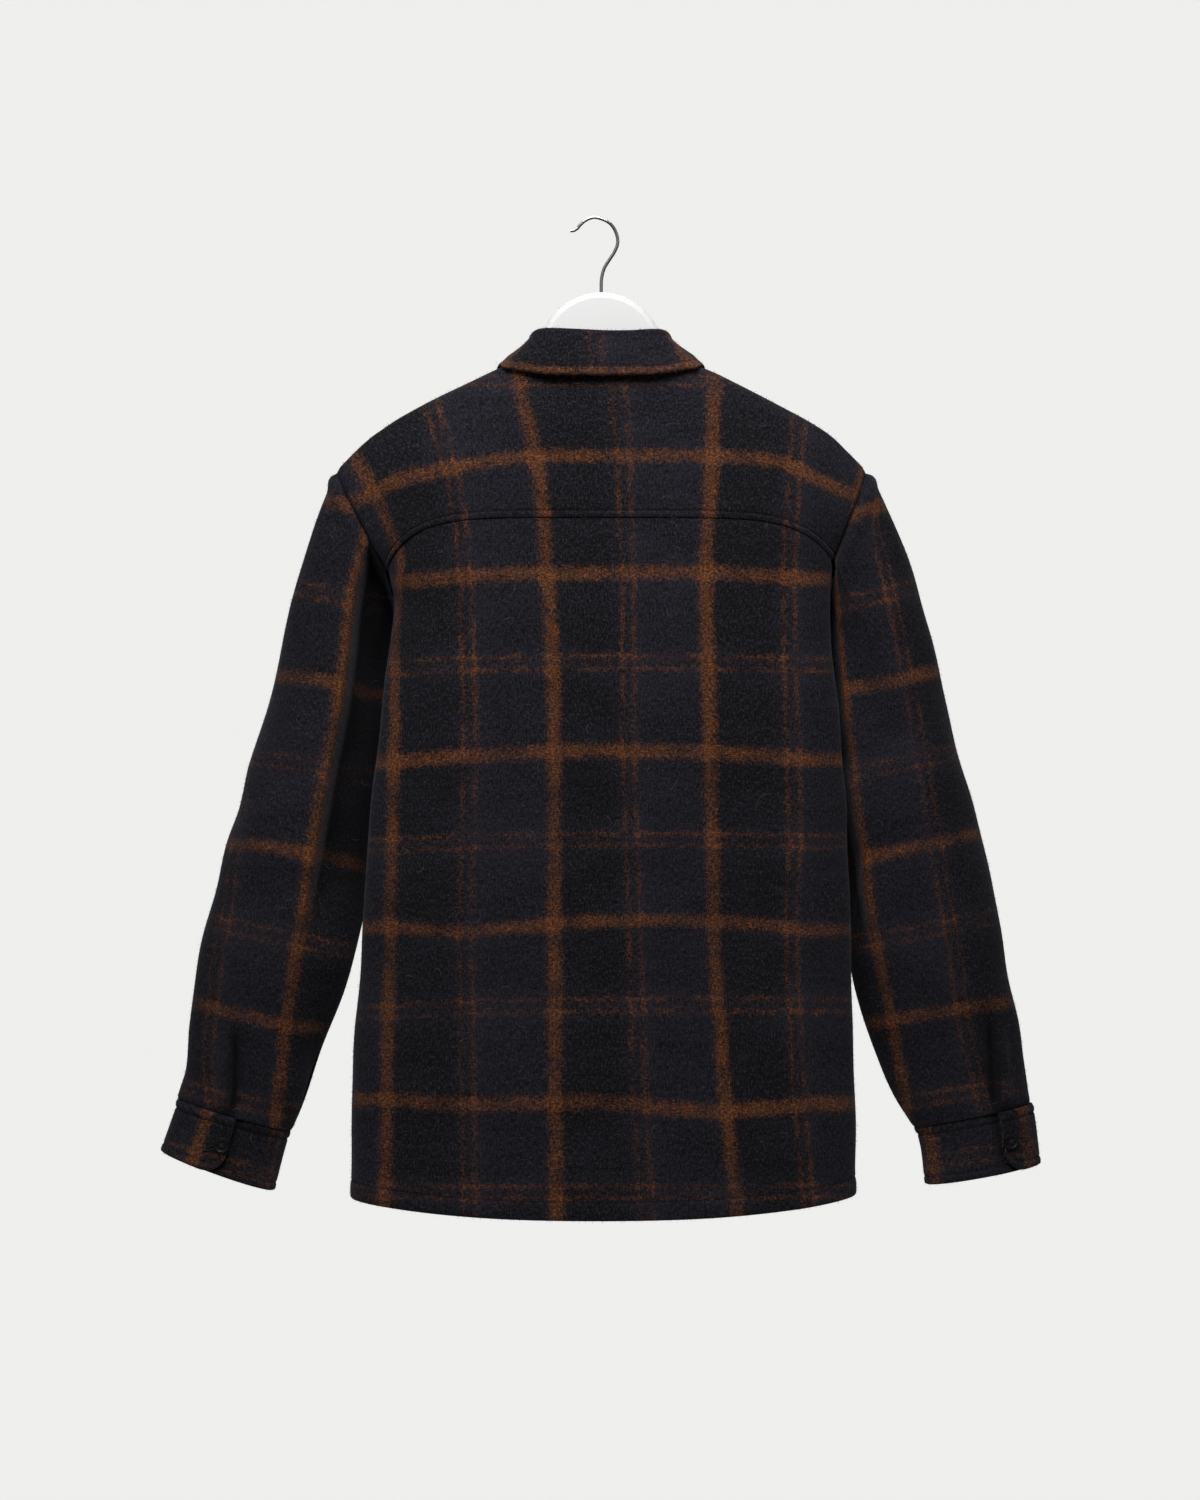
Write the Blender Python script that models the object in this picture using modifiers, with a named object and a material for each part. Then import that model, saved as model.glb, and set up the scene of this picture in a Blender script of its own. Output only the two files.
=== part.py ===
# A checked wool overshirt (shacket) hanging on a white hanger with a wire hook.
# Metres, +Z up. The origin is where a rail carries the hook, and the garment's back faces -Y.
# Every cloth piece is a wall of its own thickness, worked out from sections of the hung garment's cut,
# and stops half a seam gap short of the next piece.
import math

import bmesh
import bpy
import numpy as np
from mathutils import Matrix

# Cloth and seams
PLY = 0.0026                # one ply of brushed wool
TWO_PLY = 0.0040            # collar, stand and cuffs are two plies pressed together
SEAM_GAP = 0.0003
HEM_DEPTH = 0.016           # the turned-up hem doubles the wall
HEM_STEP = 0.0008

# Body
GARMENT_X = 0.0063          # the hook's crown sits this far left of the garment's middle
HEM_Z = -0.892              # hem at centre back and front
HEM_RISE = {-1: 0.0125, 1: 0.0155}   # the hem is this much higher at the side seams
UNDERARM_Z = -0.468
YOKE_Z = -0.2715            # yoke seam at centre back
YOKE_DROP = {-1: 0.0465, 1: 0.0365}  # its ends run down this much towards the armholes
YOKE_BEND = 6.3             # a higher power keeps more of the seam level
CHEST_Z = -0.310            # level where the front starts to turn up to the shoulder
SIDE_SEAM = math.radians(102)
SQUARENESS = 0.8            # power of the sines in a body section: 1 is an ellipse, less is boxier
DENT_MIDDLE = math.radians(125)
DENT_REACH = math.radians(55)

# Neck and shoulders
NECK_HALF_WIDTH = 0.080
NECK_BACK = 0.040
NECK_FRONT = 0.056
NECK_SQUARENESS = 0.9
BACK_NECK_Z = -0.1375
NECK_POINT_Z = -0.1285
FRONT_NECK_Z = -0.2050

# Stand and collar
STAND_HALF_WIDTH = 0.0595   # at its top
STAND_BACK_Z = -0.1118
STAND_SIDE_Z = -0.1060
STAND_FRONT_Z = -0.1800
STAND_LIFT = 0.0036         # its foot stands this much above the neck seam
FOLD_RADIUS = 0.0050        # outside of the roll over the top of the stand
FOLD_LIFT = 0.0024

# Front opening
OVERLAP = 0.0175            # each front runs this far past the centre line
PLACKET_PLY = 0.0022
UNDER_LAP_GAP = 0.0005      # the under front lies this far in from the upper one's inside
UNDER_LAP_SHARES = (1, 1, 1, 0.4)    # and comes back out over its first columns
FRONT_BUTTONS = 6
FIRST_BUTTON_Z = -0.262
LAST_BUTTON_Z = -0.770
BUTTON_RADIUS = 0.0090
CUFF_BUTTON_RADIUS = 0.0075
BUTTON_THICKNESS = 0.0032

# Cuffs
CUFF_HEIGHT = 0.055
CUFF_START = -0.0015         # its under end lies this far in from the sleeve's surface
CUFF_LAP = math.radians(42)
CUFF_END = {-1: math.radians(95), 1: math.radians(68)}   # lap's upper end, from the outer side
CUFF_CORNER = 0.014
CUFF_RAMP = math.radians(70)
CUFF_BUTTON_SHARE = 0.93    # of the way round the band
SLEEVE_HEAD_GAP = 0.0009

# Hanger
WIRE_RADIUS = 0.0015
HANGER_THICKNESS = 0.0125
HANGER_EDGE = 0.0055        # rounding of its edges
HANGER_INSET = PLY + 0.0029
DOME_RADIUS = 0.0562
DOME_TOP_Z = -0.0650
ARM_START_X = 0.0600
ARM_END_X = 0.2050
ARM_DEPTH = 0.034

# Grid of each piece
NECK_STEPS = 5
FRONT_NECK_STEPS = 6
SHOULDER_STEPS = 7
TOP_SHARES = [0, 0.02, 0.08, 0.20, 0.40, 0.68, 1]
ARMHOLE_STEPS = 6
FRONT_ARMHOLE_STEPS = 4
SIDE_STEPS = 8
COLUMN_BIAS = 1.25
TOP_LEAVING = {-1: 0.32, 1: 0.49}   # how far sideways the sleeve's paths leave the top of the armhole
UNDER_LEAVING = 0.30                # and the underarm
HEAD_SHARES = [0, 0.05, 0.15, 0.30, 0.48, 0.66, 0.84, 1]
SLEEVE_STEPS = [0.05, 0.10, 0.15, 0.19, 0.225, 0.252, 0.286, 0.321]
CUFF_STEPS = 21
COLLAR_STEPS = 12
STAND_STEPS = 26
SIDES = (-1, 1)
SIDE_NAMES = {-1: "left", 1: "right"}     # the wearer's


def table(columns, *rows):
    """A table with named columns, as one array for each column."""
    return dict(zip(columns.split(), np.array(rows, float).T))


# Half-width goes to the outermost point, shift is the body's lean to the right, and dent is how far
# the hanging sleeve pushes the side of the front in.
BODY = table(
    "z       half_width shift  back_depth front_depth dent",
    (-0.240, 0.2150, 0.0050, 0.050, 0.043, 0.000),
    (-0.270, 0.2120, 0.0055, 0.053, 0.046, 0.000),
    (-0.300, 0.2060, 0.0065, 0.055, 0.049, 0.003),
    (-0.335, 0.1990, 0.0095, 0.058, 0.052, 0.012),
    (-0.375, 0.2020, 0.0082, 0.060, 0.055, 0.022),
    (-0.430, 0.2090, 0.0084, 0.062, 0.058, 0.033),
    (-0.485, 0.2145, 0.0080, 0.062, 0.060, 0.038),
    (-0.540, 0.2195, 0.0064, 0.062, 0.060, 0.034),
    (-0.600, 0.2215, 0.0053, 0.062, 0.060, 0.024),
    (-0.665, 0.2225, 0.0044, 0.062, 0.060, 0.012),
    (-0.735, 0.2250, 0.0024, 0.063, 0.060, 0.003),
    (-0.900, 0.2275, 0.0022, 0.064, 0.060, 0.000),
)

# How far round the section each armhole edge lies, in degrees from centre back
BACK_ARMHOLE = table(
    "z       turn",
    (-0.290, 66),
    (-0.320, 84),
    (-0.350, 94),
    (-0.390, 99),
    (-0.430, 101),
    (-0.468, 102),
)
FRONT_ARMHOLE = table(
    "z       turn",
    (-0.310, 124),
    (-0.350, 121),
    (-0.400, 117),
    (-0.440, 110),
    (-0.468, 102),
)

# The shoulder seam, from the neck to the top of the armhole
SHOULDER = table(
    "x       z",
    (0.0800, -0.1285),
    (0.1050, -0.1392),
    (0.1340, -0.1532),
    (0.1625, -0.1676),
    (0.1885, -0.1820),
    (0.2097, -0.1964),
    (0.2245, -0.2106),
    (0.2385, -0.2255),
)

# Armhole edges above the yoke seam and above the chest, by share of the way down from the shoulder
YOKE_EDGE = table(
    "share x      y       z",
    (0.0, 0.2385, 0.0000, -0.2255),
    (0.02, 0.2382, -0.0045, -0.2263),
    (0.08, 0.2365, -0.0105, -0.2310),
    (0.3, 0.2290, -0.0190, -0.2500),
    (0.6, 0.2170, -0.0230, -0.2760),
    (1.0, 0.2020, -0.0170, -0.3080),
)
CHEST_EDGE = table(
    "share x      y       z",
    (0.0, 0.2385, 0.0000, -0.2255),
    (0.02, 0.2382, 0.0045, -0.2263),
    (0.08, 0.2365, 0.0105, -0.2310),
    (0.3, 0.2290, 0.0210, -0.2460),
    (0.6, 0.2060, 0.0290, -0.2740),
    (1.0, 0.1760, 0.0300, -0.3100),
)

# Sleeve sections from the biceps to the wrist, then the cuff's lower edge. Tilt in degrees.
SLEEVE_COLUMNS = "length x      y      z       half_width half_depth tilt"
SLEEVE = {
    -1: table(
        SLEEVE_COLUMNS,
        (0.000, 0.2548, 0.036, -0.4989, 0.0665, 0.048, 15.0),
        (0.095, 0.2777, 0.038, -0.5900, 0.0680, 0.046, 14.0),
        (0.190, 0.3004, 0.040, -0.6830, 0.0677, 0.042, 12.4),
        (0.247, 0.3155, 0.042, -0.7377, 0.0615, 0.036, 12.0),
        (0.298, 0.3269, 0.043, -0.7879, 0.0562, 0.031, 15.0),
        (0.321, 0.3346, 0.044, -0.8093, 0.0548, 0.029, 16.0),
        (0.376, 0.3499, 0.045, -0.8617, 0.0560, 0.030, 19.7),
    ),
    1: table(
        SLEEVE_COLUMNS,
        (0.000, 0.2617, 0.036, -0.4970, 0.0665, 0.048, 13.5),
        (0.095, 0.2840, 0.038, -0.5880, 0.0690, 0.046, 12.5),
        (0.190, 0.3012, 0.040, -0.6830, 0.0705, 0.042, 11.0),
        (0.247, 0.3150, 0.042, -0.7373, 0.0672, 0.036, 10.5),
        (0.298, 0.3287, 0.043, -0.7856, 0.0601, 0.031, 11.8),
        (0.321, 0.3382, 0.044, -0.8098, 0.0552, 0.029, 11.3),
        (0.376, 0.3478, 0.045, -0.8649, 0.0530, 0.030, 10.5),
    ),
}

# The collar's outer edge, by share of the way round from centre back to its point at the front
COLLAR_EDGE = table(
    "share x      y       z",
    (0.00, 0.0000, -0.0590, -0.1470),
    (0.25, 0.0550, -0.0520, -0.1460),
    (0.42, 0.0910, -0.0280, -0.1400),
    (0.55, 0.0995, 0.0040, -0.1300),
    (0.75, 0.0900, 0.0480, -0.1660),
    (1.00, 0.0470, 0.0740, -0.2360),
)

# The hook's wire, in the plane of the hanger, from the dome up and over to the tip
HOOK = table(
    "x       z",
    (0.0002, -0.0647),
    (0.0006, -0.0522),
    (0.0027, -0.0440),
    (0.0081, -0.0350),
    (0.0126, -0.0279),
    (0.0151, -0.0207),
    (0.0136, -0.0115),
    (0.0081, -0.0030),
    (0.0009, 0.0009),
    (-0.0063, 0.0024),
    (-0.0135, 0.0000),
    (-0.0184, -0.0041),
    (-0.0230, -0.0090),
    (-0.0276, -0.0099),
)


def along(rows, key, value, column):
    """The column's value at a key, on a smooth curve through the table's rows."""
    keys, values = rows[key], rows[column]
    if keys[0] > keys[-1]:
        keys, values = keys[::-1], values[::-1]
    slopes = np.gradient(values, keys)
    i = int(np.clip(np.searchsorted(keys, value) - 1, 0, len(keys) - 2))
    width = keys[i + 1] - keys[i]
    t = min(max((value - keys[i]) / width, 0), 1)
    return (
        (2 * t**3 - 3 * t**2 + 1) * values[i]
        + (t**3 - 2 * t**2 + t) * width * slopes[i]
        + (3 * t**2 - 2 * t**3) * values[i + 1]
        + (t**3 - t**2) * width * slopes[i + 1]
    )


def place(rows, key, value, side):
    x, y, z = (along(rows, key, value, column) for column in "xyz")
    return np.array([side * x, y, z])


def ease(t):
    t = min(max(t, 0), 1)
    return t * t * (3 - 2 * t)


def power(value, exponent):
    return math.copysign(abs(value) ** exponent, value)


def unit(vector):
    return vector / np.linalg.norm(vector, axis=-1, keepdims=True)


def body(turn, z, side):
    """A point on the outside of the body: turn is the angle round from centre back."""
    half_width = along(BODY, "z", z, "half_width")
    depth = along(BODY, "z", z, "back_depth" if math.cos(turn) > 0 else "front_depth")
    off = abs(turn - DENT_MIDDLE) / DENT_REACH
    dent = along(BODY, "z", z, "dent") * math.cos(off * math.pi / 2) ** 2 if off < 1 else 0
    x = half_width * power(math.sin(turn), SQUARENESS) - dent
    return np.array([side * x + along(BODY, "z", z, "shift"), -depth * power(math.cos(turn), SQUARENESS), z])


def lifted(z, turn, side):
    """The rows rise a little towards the side seams, most of all the hem."""
    share = max((UNDERARM_Z - z) / (UNDERARM_Z - HEM_Z), 0)
    return z + HEM_RISE[side] * share**2 * abs(math.sin(turn)) ** 1.8


def side_levels():
    """Levels of the rows from the underarm to the hem, the last two round the turned-up hem."""
    turn_up = HEM_Z + HEM_DEPTH
    plain = np.linspace(UNDERARM_Z, turn_up + HEM_STEP, SIDE_STEPS + 1)
    return [*plain, turn_up, HEM_Z]


def hem_thickness(rows):
    """The wall's thickness for each row of a panel that ends in the hem."""
    return np.array([PLY] * (rows - 2) + [2 * PLY] * 2)[:, None]


def ring_at_neck(turn, side, half_width, back_z, side_z, front_z):
    """A ring round the neck, level over the shoulders' line and dropping to the front."""
    x = side * half_width * power(math.sin(turn), NECK_SQUARENESS)
    if turn < math.pi / 2:
        return np.array([x, -NECK_BACK * math.cos(turn), back_z + (side_z - back_z) * math.sin(turn) ** 2])
    drop = math.sin(turn - math.pi / 2) ** 1.5
    return np.array([x, -NECK_FRONT * math.cos(turn), side_z + (front_z - side_z) * drop])


def neckline(turn, side):
    """The neck seam: turn is the angle round from centre back."""
    return ring_at_neck(turn, side, NECK_HALF_WIDTH, BACK_NECK_Z, NECK_POINT_Z, FRONT_NECK_Z)


def stand_top(turn, side):
    """The top of the stand's outside, which leans in from the neck seam."""
    return ring_at_neck(turn, side, STAND_HALF_WIDTH, STAND_BACK_Z, STAND_SIDE_Z, STAND_FRONT_Z)


def away(curve, turn, side):
    """The level direction that points out of a ring such as the neck seam."""
    step = 1e-3
    tangent = curve(turn + step, side) - curve(turn - step, side)
    return unit(np.array([tangent[1], -tangent[0], 0]) * side)


def shoulder(share, side):
    x = SHOULDER["x"][0] + share * (SHOULDER["x"][-1] - SHOULDER["x"][0])
    return np.array([side * x, 0, along(SHOULDER, "x", x, "z")])


def top_rows(tops, bottoms, edge_rows, side):
    """Rows of cloth from the neck and shoulder seams to the points below. Each path leaves the seam
    level and turns down like a quarter of an ellipse, and the last one is the armhole's edge."""
    rows = []
    end_error = bottoms[-1] - place(edge_rows, "share", 1, side)
    for share in TOP_SHARES:
        eased = np.array([share, math.sqrt(1 - (1 - share) ** 2), share])
        row = [top + (bottom - top) * eased for top, bottom in zip(tops, bottoms)]
        miss = place(edge_rows, "share", share, side) + end_error * share - row[-1]
        rows.append([point + miss * (i / (len(row) - 1)) ** 3 for i, point in enumerate(row)])
    return rows


def back_half(side):
    """The back panel from its centre to the armhole and side seam, rows from the yoke seam to the hem."""
    columns = NECK_STEPS + SHOULDER_STEPS
    rows = []
    for level in [*np.linspace(YOKE_Z, UNDERARM_Z, ARMHOLE_STEPS, endpoint=False), *side_levels()]:
        fade = max((level - UNDERARM_Z) / (YOKE_Z - UNDERARM_Z), 0)
        drop = YOKE_DROP[side] * fade
        limit = math.radians(along(BACK_ARMHOLE, "z", level - drop, "turn")) if fade else SIDE_SEAM
        row = []
        for column in range(columns + 1):
            turn = limit * (column / columns) ** COLUMN_BIAS
            reach = (math.sin(turn) / math.sin(limit)) ** SQUARENESS
            z = lifted(level - drop * reach**YOKE_BEND, turn, side)
            row.append(body(turn, z, side))
        rows.append(row)
    return rows


def yoke_half(side, seam):
    tops = [neckline(math.pi / 2 * i / NECK_STEPS, side) for i in range(NECK_STEPS)]
    tops += [shoulder(i / SHOULDER_STEPS, side) for i in range(SHOULDER_STEPS + 1)]
    return top_rows(tops, seam, YOKE_EDGE, side)


def whole(half):
    """Joins the left and right halves of a piece, columns from left to right."""
    return np.array([left[:0:-1] + right for left, right in zip(half[-1], half[1])])


def lap_turn(half_width, exponent):
    """How far round the overlap reaches past the centre line."""
    return math.asin((OVERLAP / half_width) ** (1 / exponent))


def front_row(z, limit, side):
    """Columns at the front edge, the centre line and the placket's seam, then on to the side."""
    lap = lap_turn(along(BODY, "z", z, "half_width"), SQUARENESS)
    reach = math.pi - limit
    start = (lap / reach) ** (1 / COLUMN_BIAS)
    shares = np.linspace(start, 1, FRONT_NECK_STEPS + SHOULDER_STEPS - 1)
    turns = [math.pi + lap, math.pi, *(math.pi - reach * shares**COLUMN_BIAS)]
    return [body(turn, lifted(z, turn, side), side) for turn in turns]


def front(side):
    """One front, rows from the neck and shoulder seams to the hem, columns from its edge to the side."""
    lap = lap_turn(NECK_HALF_WIDTH, NECK_SQUARENESS)
    count = FRONT_NECK_STEPS - 2
    turns = [math.pi + lap, math.pi]
    turns += [math.pi - lap - (math.pi / 2 - lap) * i / count for i in range(count)]
    tops = [neckline(turn, side) for turn in turns]
    tops += [shoulder(i / SHOULDER_STEPS, side) for i in range(SHOULDER_STEPS + 1)]
    lower = []
    for z in np.linspace(CHEST_Z, UNDERARM_Z, FRONT_ARMHOLE_STEPS, endpoint=False):
        lower.append(front_row(z, math.radians(along(FRONT_ARMHOLE, "z", z, "turn")), side))
    lower += [front_row(z, SIDE_SEAM, side) for z in side_levels()]
    return np.array(top_rows(tops, lower[0], CHEST_EDGE, side) + lower[1:])


def sleeve_ring(length, angles, side):
    """An oval section of the sleeve. Angles go from the outer side round the back."""
    level = {name: along(SLEEVE[side], "length", length, name) for name in SLEEVE[side]}
    tilt = math.radians(level["tilt"])
    centre = np.array([side * level["x"], level["y"], level["z"]])
    wide = level["half_width"] * np.array([side * math.cos(tilt), 0, math.sin(tilt)])
    deep = level["half_depth"] * np.array([0, -1, 0])
    return [centre + wide * math.cos(angle) + deep * math.sin(angle) for angle in angles]


def armhole_loop(yoke_edge, back_edge, front_edge):
    """The armhole's points from the shoulder down the back and up the front."""
    return [*yoke_edge, *back_edge[1:], *front_edge[-2:0:-1]]


def loop_angles(loop, underarm):
    """Shares of a half turn by length along the back edge, then along the front edge."""
    closed = np.array([*loop, loop[0]])
    reach = np.concatenate([[0], np.cumsum(np.linalg.norm(np.diff(closed, axis=0), axis=1))])
    back = reach[: underarm + 1] / reach[underarm]
    ahead = (reach[underarm + 1:-1] - reach[underarm]) / (reach[-1] - reach[underarm])
    return [*(math.pi * back), *(math.pi * (1 + ahead))]


def sleeve(loop, angles, side):
    """Rings from the armhole to the wrist. Each path leaves the armhole outwards and joins the arm's line."""
    biceps = sleeve_ring(0, angles, side)
    below = sleeve_ring(0.01, angles, side)
    rows = []
    for share in HEAD_SHARES:
        row = []
        for start, end, under, angle in zip(loop, biceps, below, angles):
            stretch = np.linalg.norm(end - start)
            outward = UNDER_LEAVING + (TOP_LEAVING[side] - UNDER_LEAVING) * (1 + math.cos(angle)) / 2
            leaving = unit(np.array([side * outward, 0.3 * max(-math.sin(angle), 0), -0.75])) * stretch
            joining = unit(under - end) * stretch
            row.append(
                (2 * share**3 - 3 * share**2 + 1) * start
                + (share**3 - 2 * share**2 + share) * leaving
                + (3 * share**2 - 2 * share**3) * end
                + (share**3 - share**2) * joining
            )
        rows.append(row)
    rows += [sleeve_ring(length, angles, side) for length in SLEEVE_STEPS]
    return np.array(rows)


def cuff(side):
    """A band that starts under the lap, goes once round and ends on top of its start."""
    top, bottom = SLEEVE_STEPS[-1] + SEAM_GAP, SLEEVE_STEPS[-1] + CUFF_HEIGHT
    girth = along(SLEEVE[side], "length", bottom, "half_width")
    ends = [CUFF_CORNER * share / girth for share in (0, 0.15, 0.4, 0.7, 1)]
    sweep = 2 * math.pi + CUFF_LAP
    turned = [*np.linspace(0, sweep - ends[-1], CUFF_STEPS)[:-1], *(sweep - end for end in reversed(ends))]
    start = CUFF_END[side] - CUFF_LAP
    columns = []
    for turn in turned:
        rise = (TWO_PLY + SEAM_GAP) * ease((turn - 2 * math.pi + CUFF_RAMP) / CUFF_RAMP)
        past = max(1 - (sweep - turn) / ends[-1], 0)
        low = bottom - CUFF_CORNER * (1 - math.sqrt(1 - past**2))
        column = []
        for length in np.linspace(top, low, 4):
            centre = np.mean(sleeve_ring(length, (0, math.pi), side), axis=0)
            point = sleeve_ring(length, [start + turn], side)[0]
            column.append(point + unit(point - centre) * (rise + CUFF_START))
        columns.append(column)
    return np.array(columns).transpose(1, 0, 2)


def stand_rows(side_turns):
    """The stand from under one front end round the back to the upper end, rows from its top down."""
    rows = []
    for height in (1, 0.5, 0):
        row = []
        for turn in side_turns:
            side = -1 if turn < 0 else 1
            foot = neckline(abs(turn), side) - away(neckline, abs(turn), side) * SEAM_GAP
            foot[2] += STAND_LIFT
            head = stand_top(abs(turn), side)
            point = foot + (head - foot) * height
            row.append(point - away(stand_top, abs(turn), side) * under_lap(turn))
        rows.append(row)
    return np.array(rows)


def under_lap(turn):
    """How far in the right-hand end lies where the two ends lap at centre front."""
    lap = lap_turn(NECK_HALF_WIDTH, NECK_SQUARENESS)
    return (TWO_PLY + UNDER_LAP_GAP) * ease((turn - math.pi + 3 * lap) / (1.5 * lap))


def collar_rows():
    """The roll over the stand and the fall outside it, rows from inside the neck to the edge."""
    columns = []
    for column in range(-COLLAR_STEPS, COLLAR_STEPS + 1):
        side = -1 if column < 0 else 1
        share = abs(column) / COLLAR_STEPS
        turn = share * (math.pi - lap_turn(NECK_HALF_WIDTH, NECK_SQUARENESS) / 2)
        out = away(stand_top, turn, side)
        up = np.array([0, 0, 1])
        inside = FOLD_RADIUS - TWO_PLY
        centre = stand_top(turn, side) + out * inside + up * FOLD_LIFT
        rolls = np.linspace(0, math.pi, 7)
        arc = [centre + FOLD_RADIUS * (up * math.sin(roll) - out * math.cos(roll)) for roll in rolls]
        edge = place(COLLAR_EDGE, "share", share, side)
        fall = [arc[-1] + (edge - arc[-1]) * s for s in (0.33, 0.66, 1)]
        columns.append(arc + fall)
    return np.array(columns).transpose(1, 0, 2)


def normals_of(grid, outward, closed=False):
    """Unit normals of a grid of points, rows first. outward is 1 or -1."""
    if closed:
        wrapped = np.concatenate([grid[:, -1:], grid, grid[:, :1]], axis=1)
        across = wrapped[:, 2:] - wrapped[:, :-2]
    else:
        across = np.gradient(grid, axis=1)
    down = np.gradient(grid, axis=0)
    return unit(np.cross(across, down) * outward)


def inset(grid, top=0, bottom=0, start=0, end=0):
    """Moves the outer rows and columns in by these amounts, so that pieces don't touch at a seam."""
    moved = grid.copy()
    for amount, edge, inner in (
        (top, np.s_[0, :], np.s_[1, :]),
        (bottom, np.s_[-1, :], np.s_[-2, :]),
        (start, np.s_[:, 0], np.s_[:, 1]),
        (end, np.s_[:, -1], np.s_[:, -2]),
    ):
        moved[edge] = moved[edge] + amount * unit(grid[inner] - grid[edge])
    return moved


def wall(name, outer, normals, thickness, look, closed=False):
    """A closed cloth wall: the outer points, the same points moved in, and the edges between."""
    rows, columns = outer.shape[:2]
    depth = np.broadcast_to(thickness, (rows, columns))[..., None]
    inner = outer - normals * depth
    points = np.concatenate([outer.reshape(-1, 3), inner.reshape(-1, 3)])

    def index(row, column, layer):
        return (layer * rows + row) * columns + column % columns

    def strip(pairs):
        return [[index(*a, 0), index(*b, 0), index(*b, 1), index(*a, 1)] for a, b in pairs]

    spans = columns if closed else columns - 1
    faces = []
    for row in range(rows - 1):
        for column in range(spans):
            corners = [(row, column), (row, column + 1), (row + 1, column + 1), (row + 1, column)]
            faces.append([index(r, c, 0) for r, c in corners])
            faces.append([index(r, c, 1) for r, c in reversed(corners)])
    for row in (0, rows - 1):
        faces += strip([((row, column), (row, column + 1)) for column in range(spans)])
    if not closed:
        for column in (0, columns - 1):
            faces += strip([((row, column), (row + 1, column)) for row in range(rows - 1)])
    mesh = bpy.data.meshes.new(name)
    mesh.from_pydata([tuple(point) for point in points], [], faces)
    return finish(bpy.data.objects.new(name, mesh), look)


def finish(made, look):
    """Gives an object its material, faces that point out, smooth shading and its place in the garment."""
    mesh = made.data
    edit = bmesh.new()
    edit.from_mesh(mesh)
    bmesh.ops.recalc_face_normals(edit, faces=edit.faces)
    edit.to_mesh(mesh)
    edit.free()
    mesh.shade_smooth()
    mesh.set_sharp_from_angle(angle=math.radians(50))
    return gather(made, look)


def gather(made, look):
    made.data.materials.append(look)
    bpy.data.collections["shacket_on_hanger"].objects.link(made)
    made.parent = bpy.data.objects["garment"]
    return made


def material(name, colour, roughness, metallic=0.0):
    made = bpy.data.materials.new(name)
    made.use_nodes = True
    shader = made.node_tree.nodes["Principled BSDF"]
    shader.inputs["Base Color"].default_value = (*colour, 1)
    shader.inputs["Roughness"].default_value = roughness
    shader.inputs["Metallic"].default_value = metallic
    return made


def button(name, seat, normal, radius, look):
    """A dished button turned about its own axis, its back resting just clear of the cloth."""
    half = BUTTON_THICKNESS / 2
    profile = [
        (0, half * 0.45),
        (radius * 0.62, half * 0.45),
        (radius * 0.74, half * 0.95),
        (radius * 0.88, half),
        (radius, half * 0.35),
        (radius, -half * 0.45),
        (radius * 0.86, -half),
        (0, -half),
    ]
    mesh = bpy.data.meshes.new(name)
    mesh.from_pydata([(x, 0, z) for x, z in profile], [(i, i + 1) for i in range(len(profile) - 1)], [])
    made = bpy.data.objects.new(name, mesh)
    screw = made.modifiers.new("turn", "SCREW")
    screw.steps = screw.render_steps = 14
    screw.use_merge_vertices = True
    screw.merge_threshold = 0.00005
    gather(made, look)
    axis = unit(normal)
    across = unit(np.cross(axis, (0.0, 0.0, 1.0)))
    made.location = tuple(seat + axis * (SEAM_GAP + half))
    made.rotation_euler = Matrix(np.array([across, np.cross(axis, across), axis]).T.tolist()).to_euler()
    return made


def share_normals(first, first_at, second, second_at):
    """Gives two grids the same normals along the seam where they meet, so that their walls are mitred."""
    shared = unit(first[first_at] + second[second_at])
    first[first_at] = shared
    second[second_at] = shared


def build_body():
    """The grids and normals of the yoke, the back panel and both fronts."""
    backs = {side: back_half(side) for side in SIDES}
    yokes = {side: yoke_half(side, backs[side][0]) for side in SIDES}
    grids = {"yoke": whole(yokes), "back": whole(backs), -1: front(-1), 1: front(1)}
    facing = {"yoke": -1, "back": -1, -1: -1, 1: 1}
    normals = {name: normals_of(grid, facing[name]) for name, grid in grids.items()}
    share_normals(normals["back"], 0, normals["yoke"], -1)
    middle = NECK_STEPS + SHOULDER_STEPS
    below = len(side_levels())
    for side in SIDES:
        yoke_shoulder = [middle + side * (NECK_STEPS + i) for i in range(SHOULDER_STEPS + 1)]
        front_shoulder = [FRONT_NECK_STEPS + i for i in range(SHOULDER_STEPS + 1)]
        share_normals(normals["yoke"], (0, yoke_shoulder), normals[side], (0, front_shoulder))
        seam = np.s_[-below:, edge_column(side)]
        share_normals(normals["back"], seam, normals[side], np.s_[-below:, -1])
    return grids, normals


def edge_column(side):
    """The outermost column of the yoke or back panel on this side."""
    return -1 if side == 1 else 0


def armhole_of(grids, side):
    """The armhole's loop, from the yoke's, the back panel's and the front's edges."""
    column = edge_column(side)
    above = len(TOP_SHARES) + FRONT_ARMHOLE_STEPS
    back = grids["back"][: ARMHOLE_STEPS + 1, column]
    return armhole_loop(grids["yoke"][:, column], back, grids[side][:above, -1])


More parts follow.
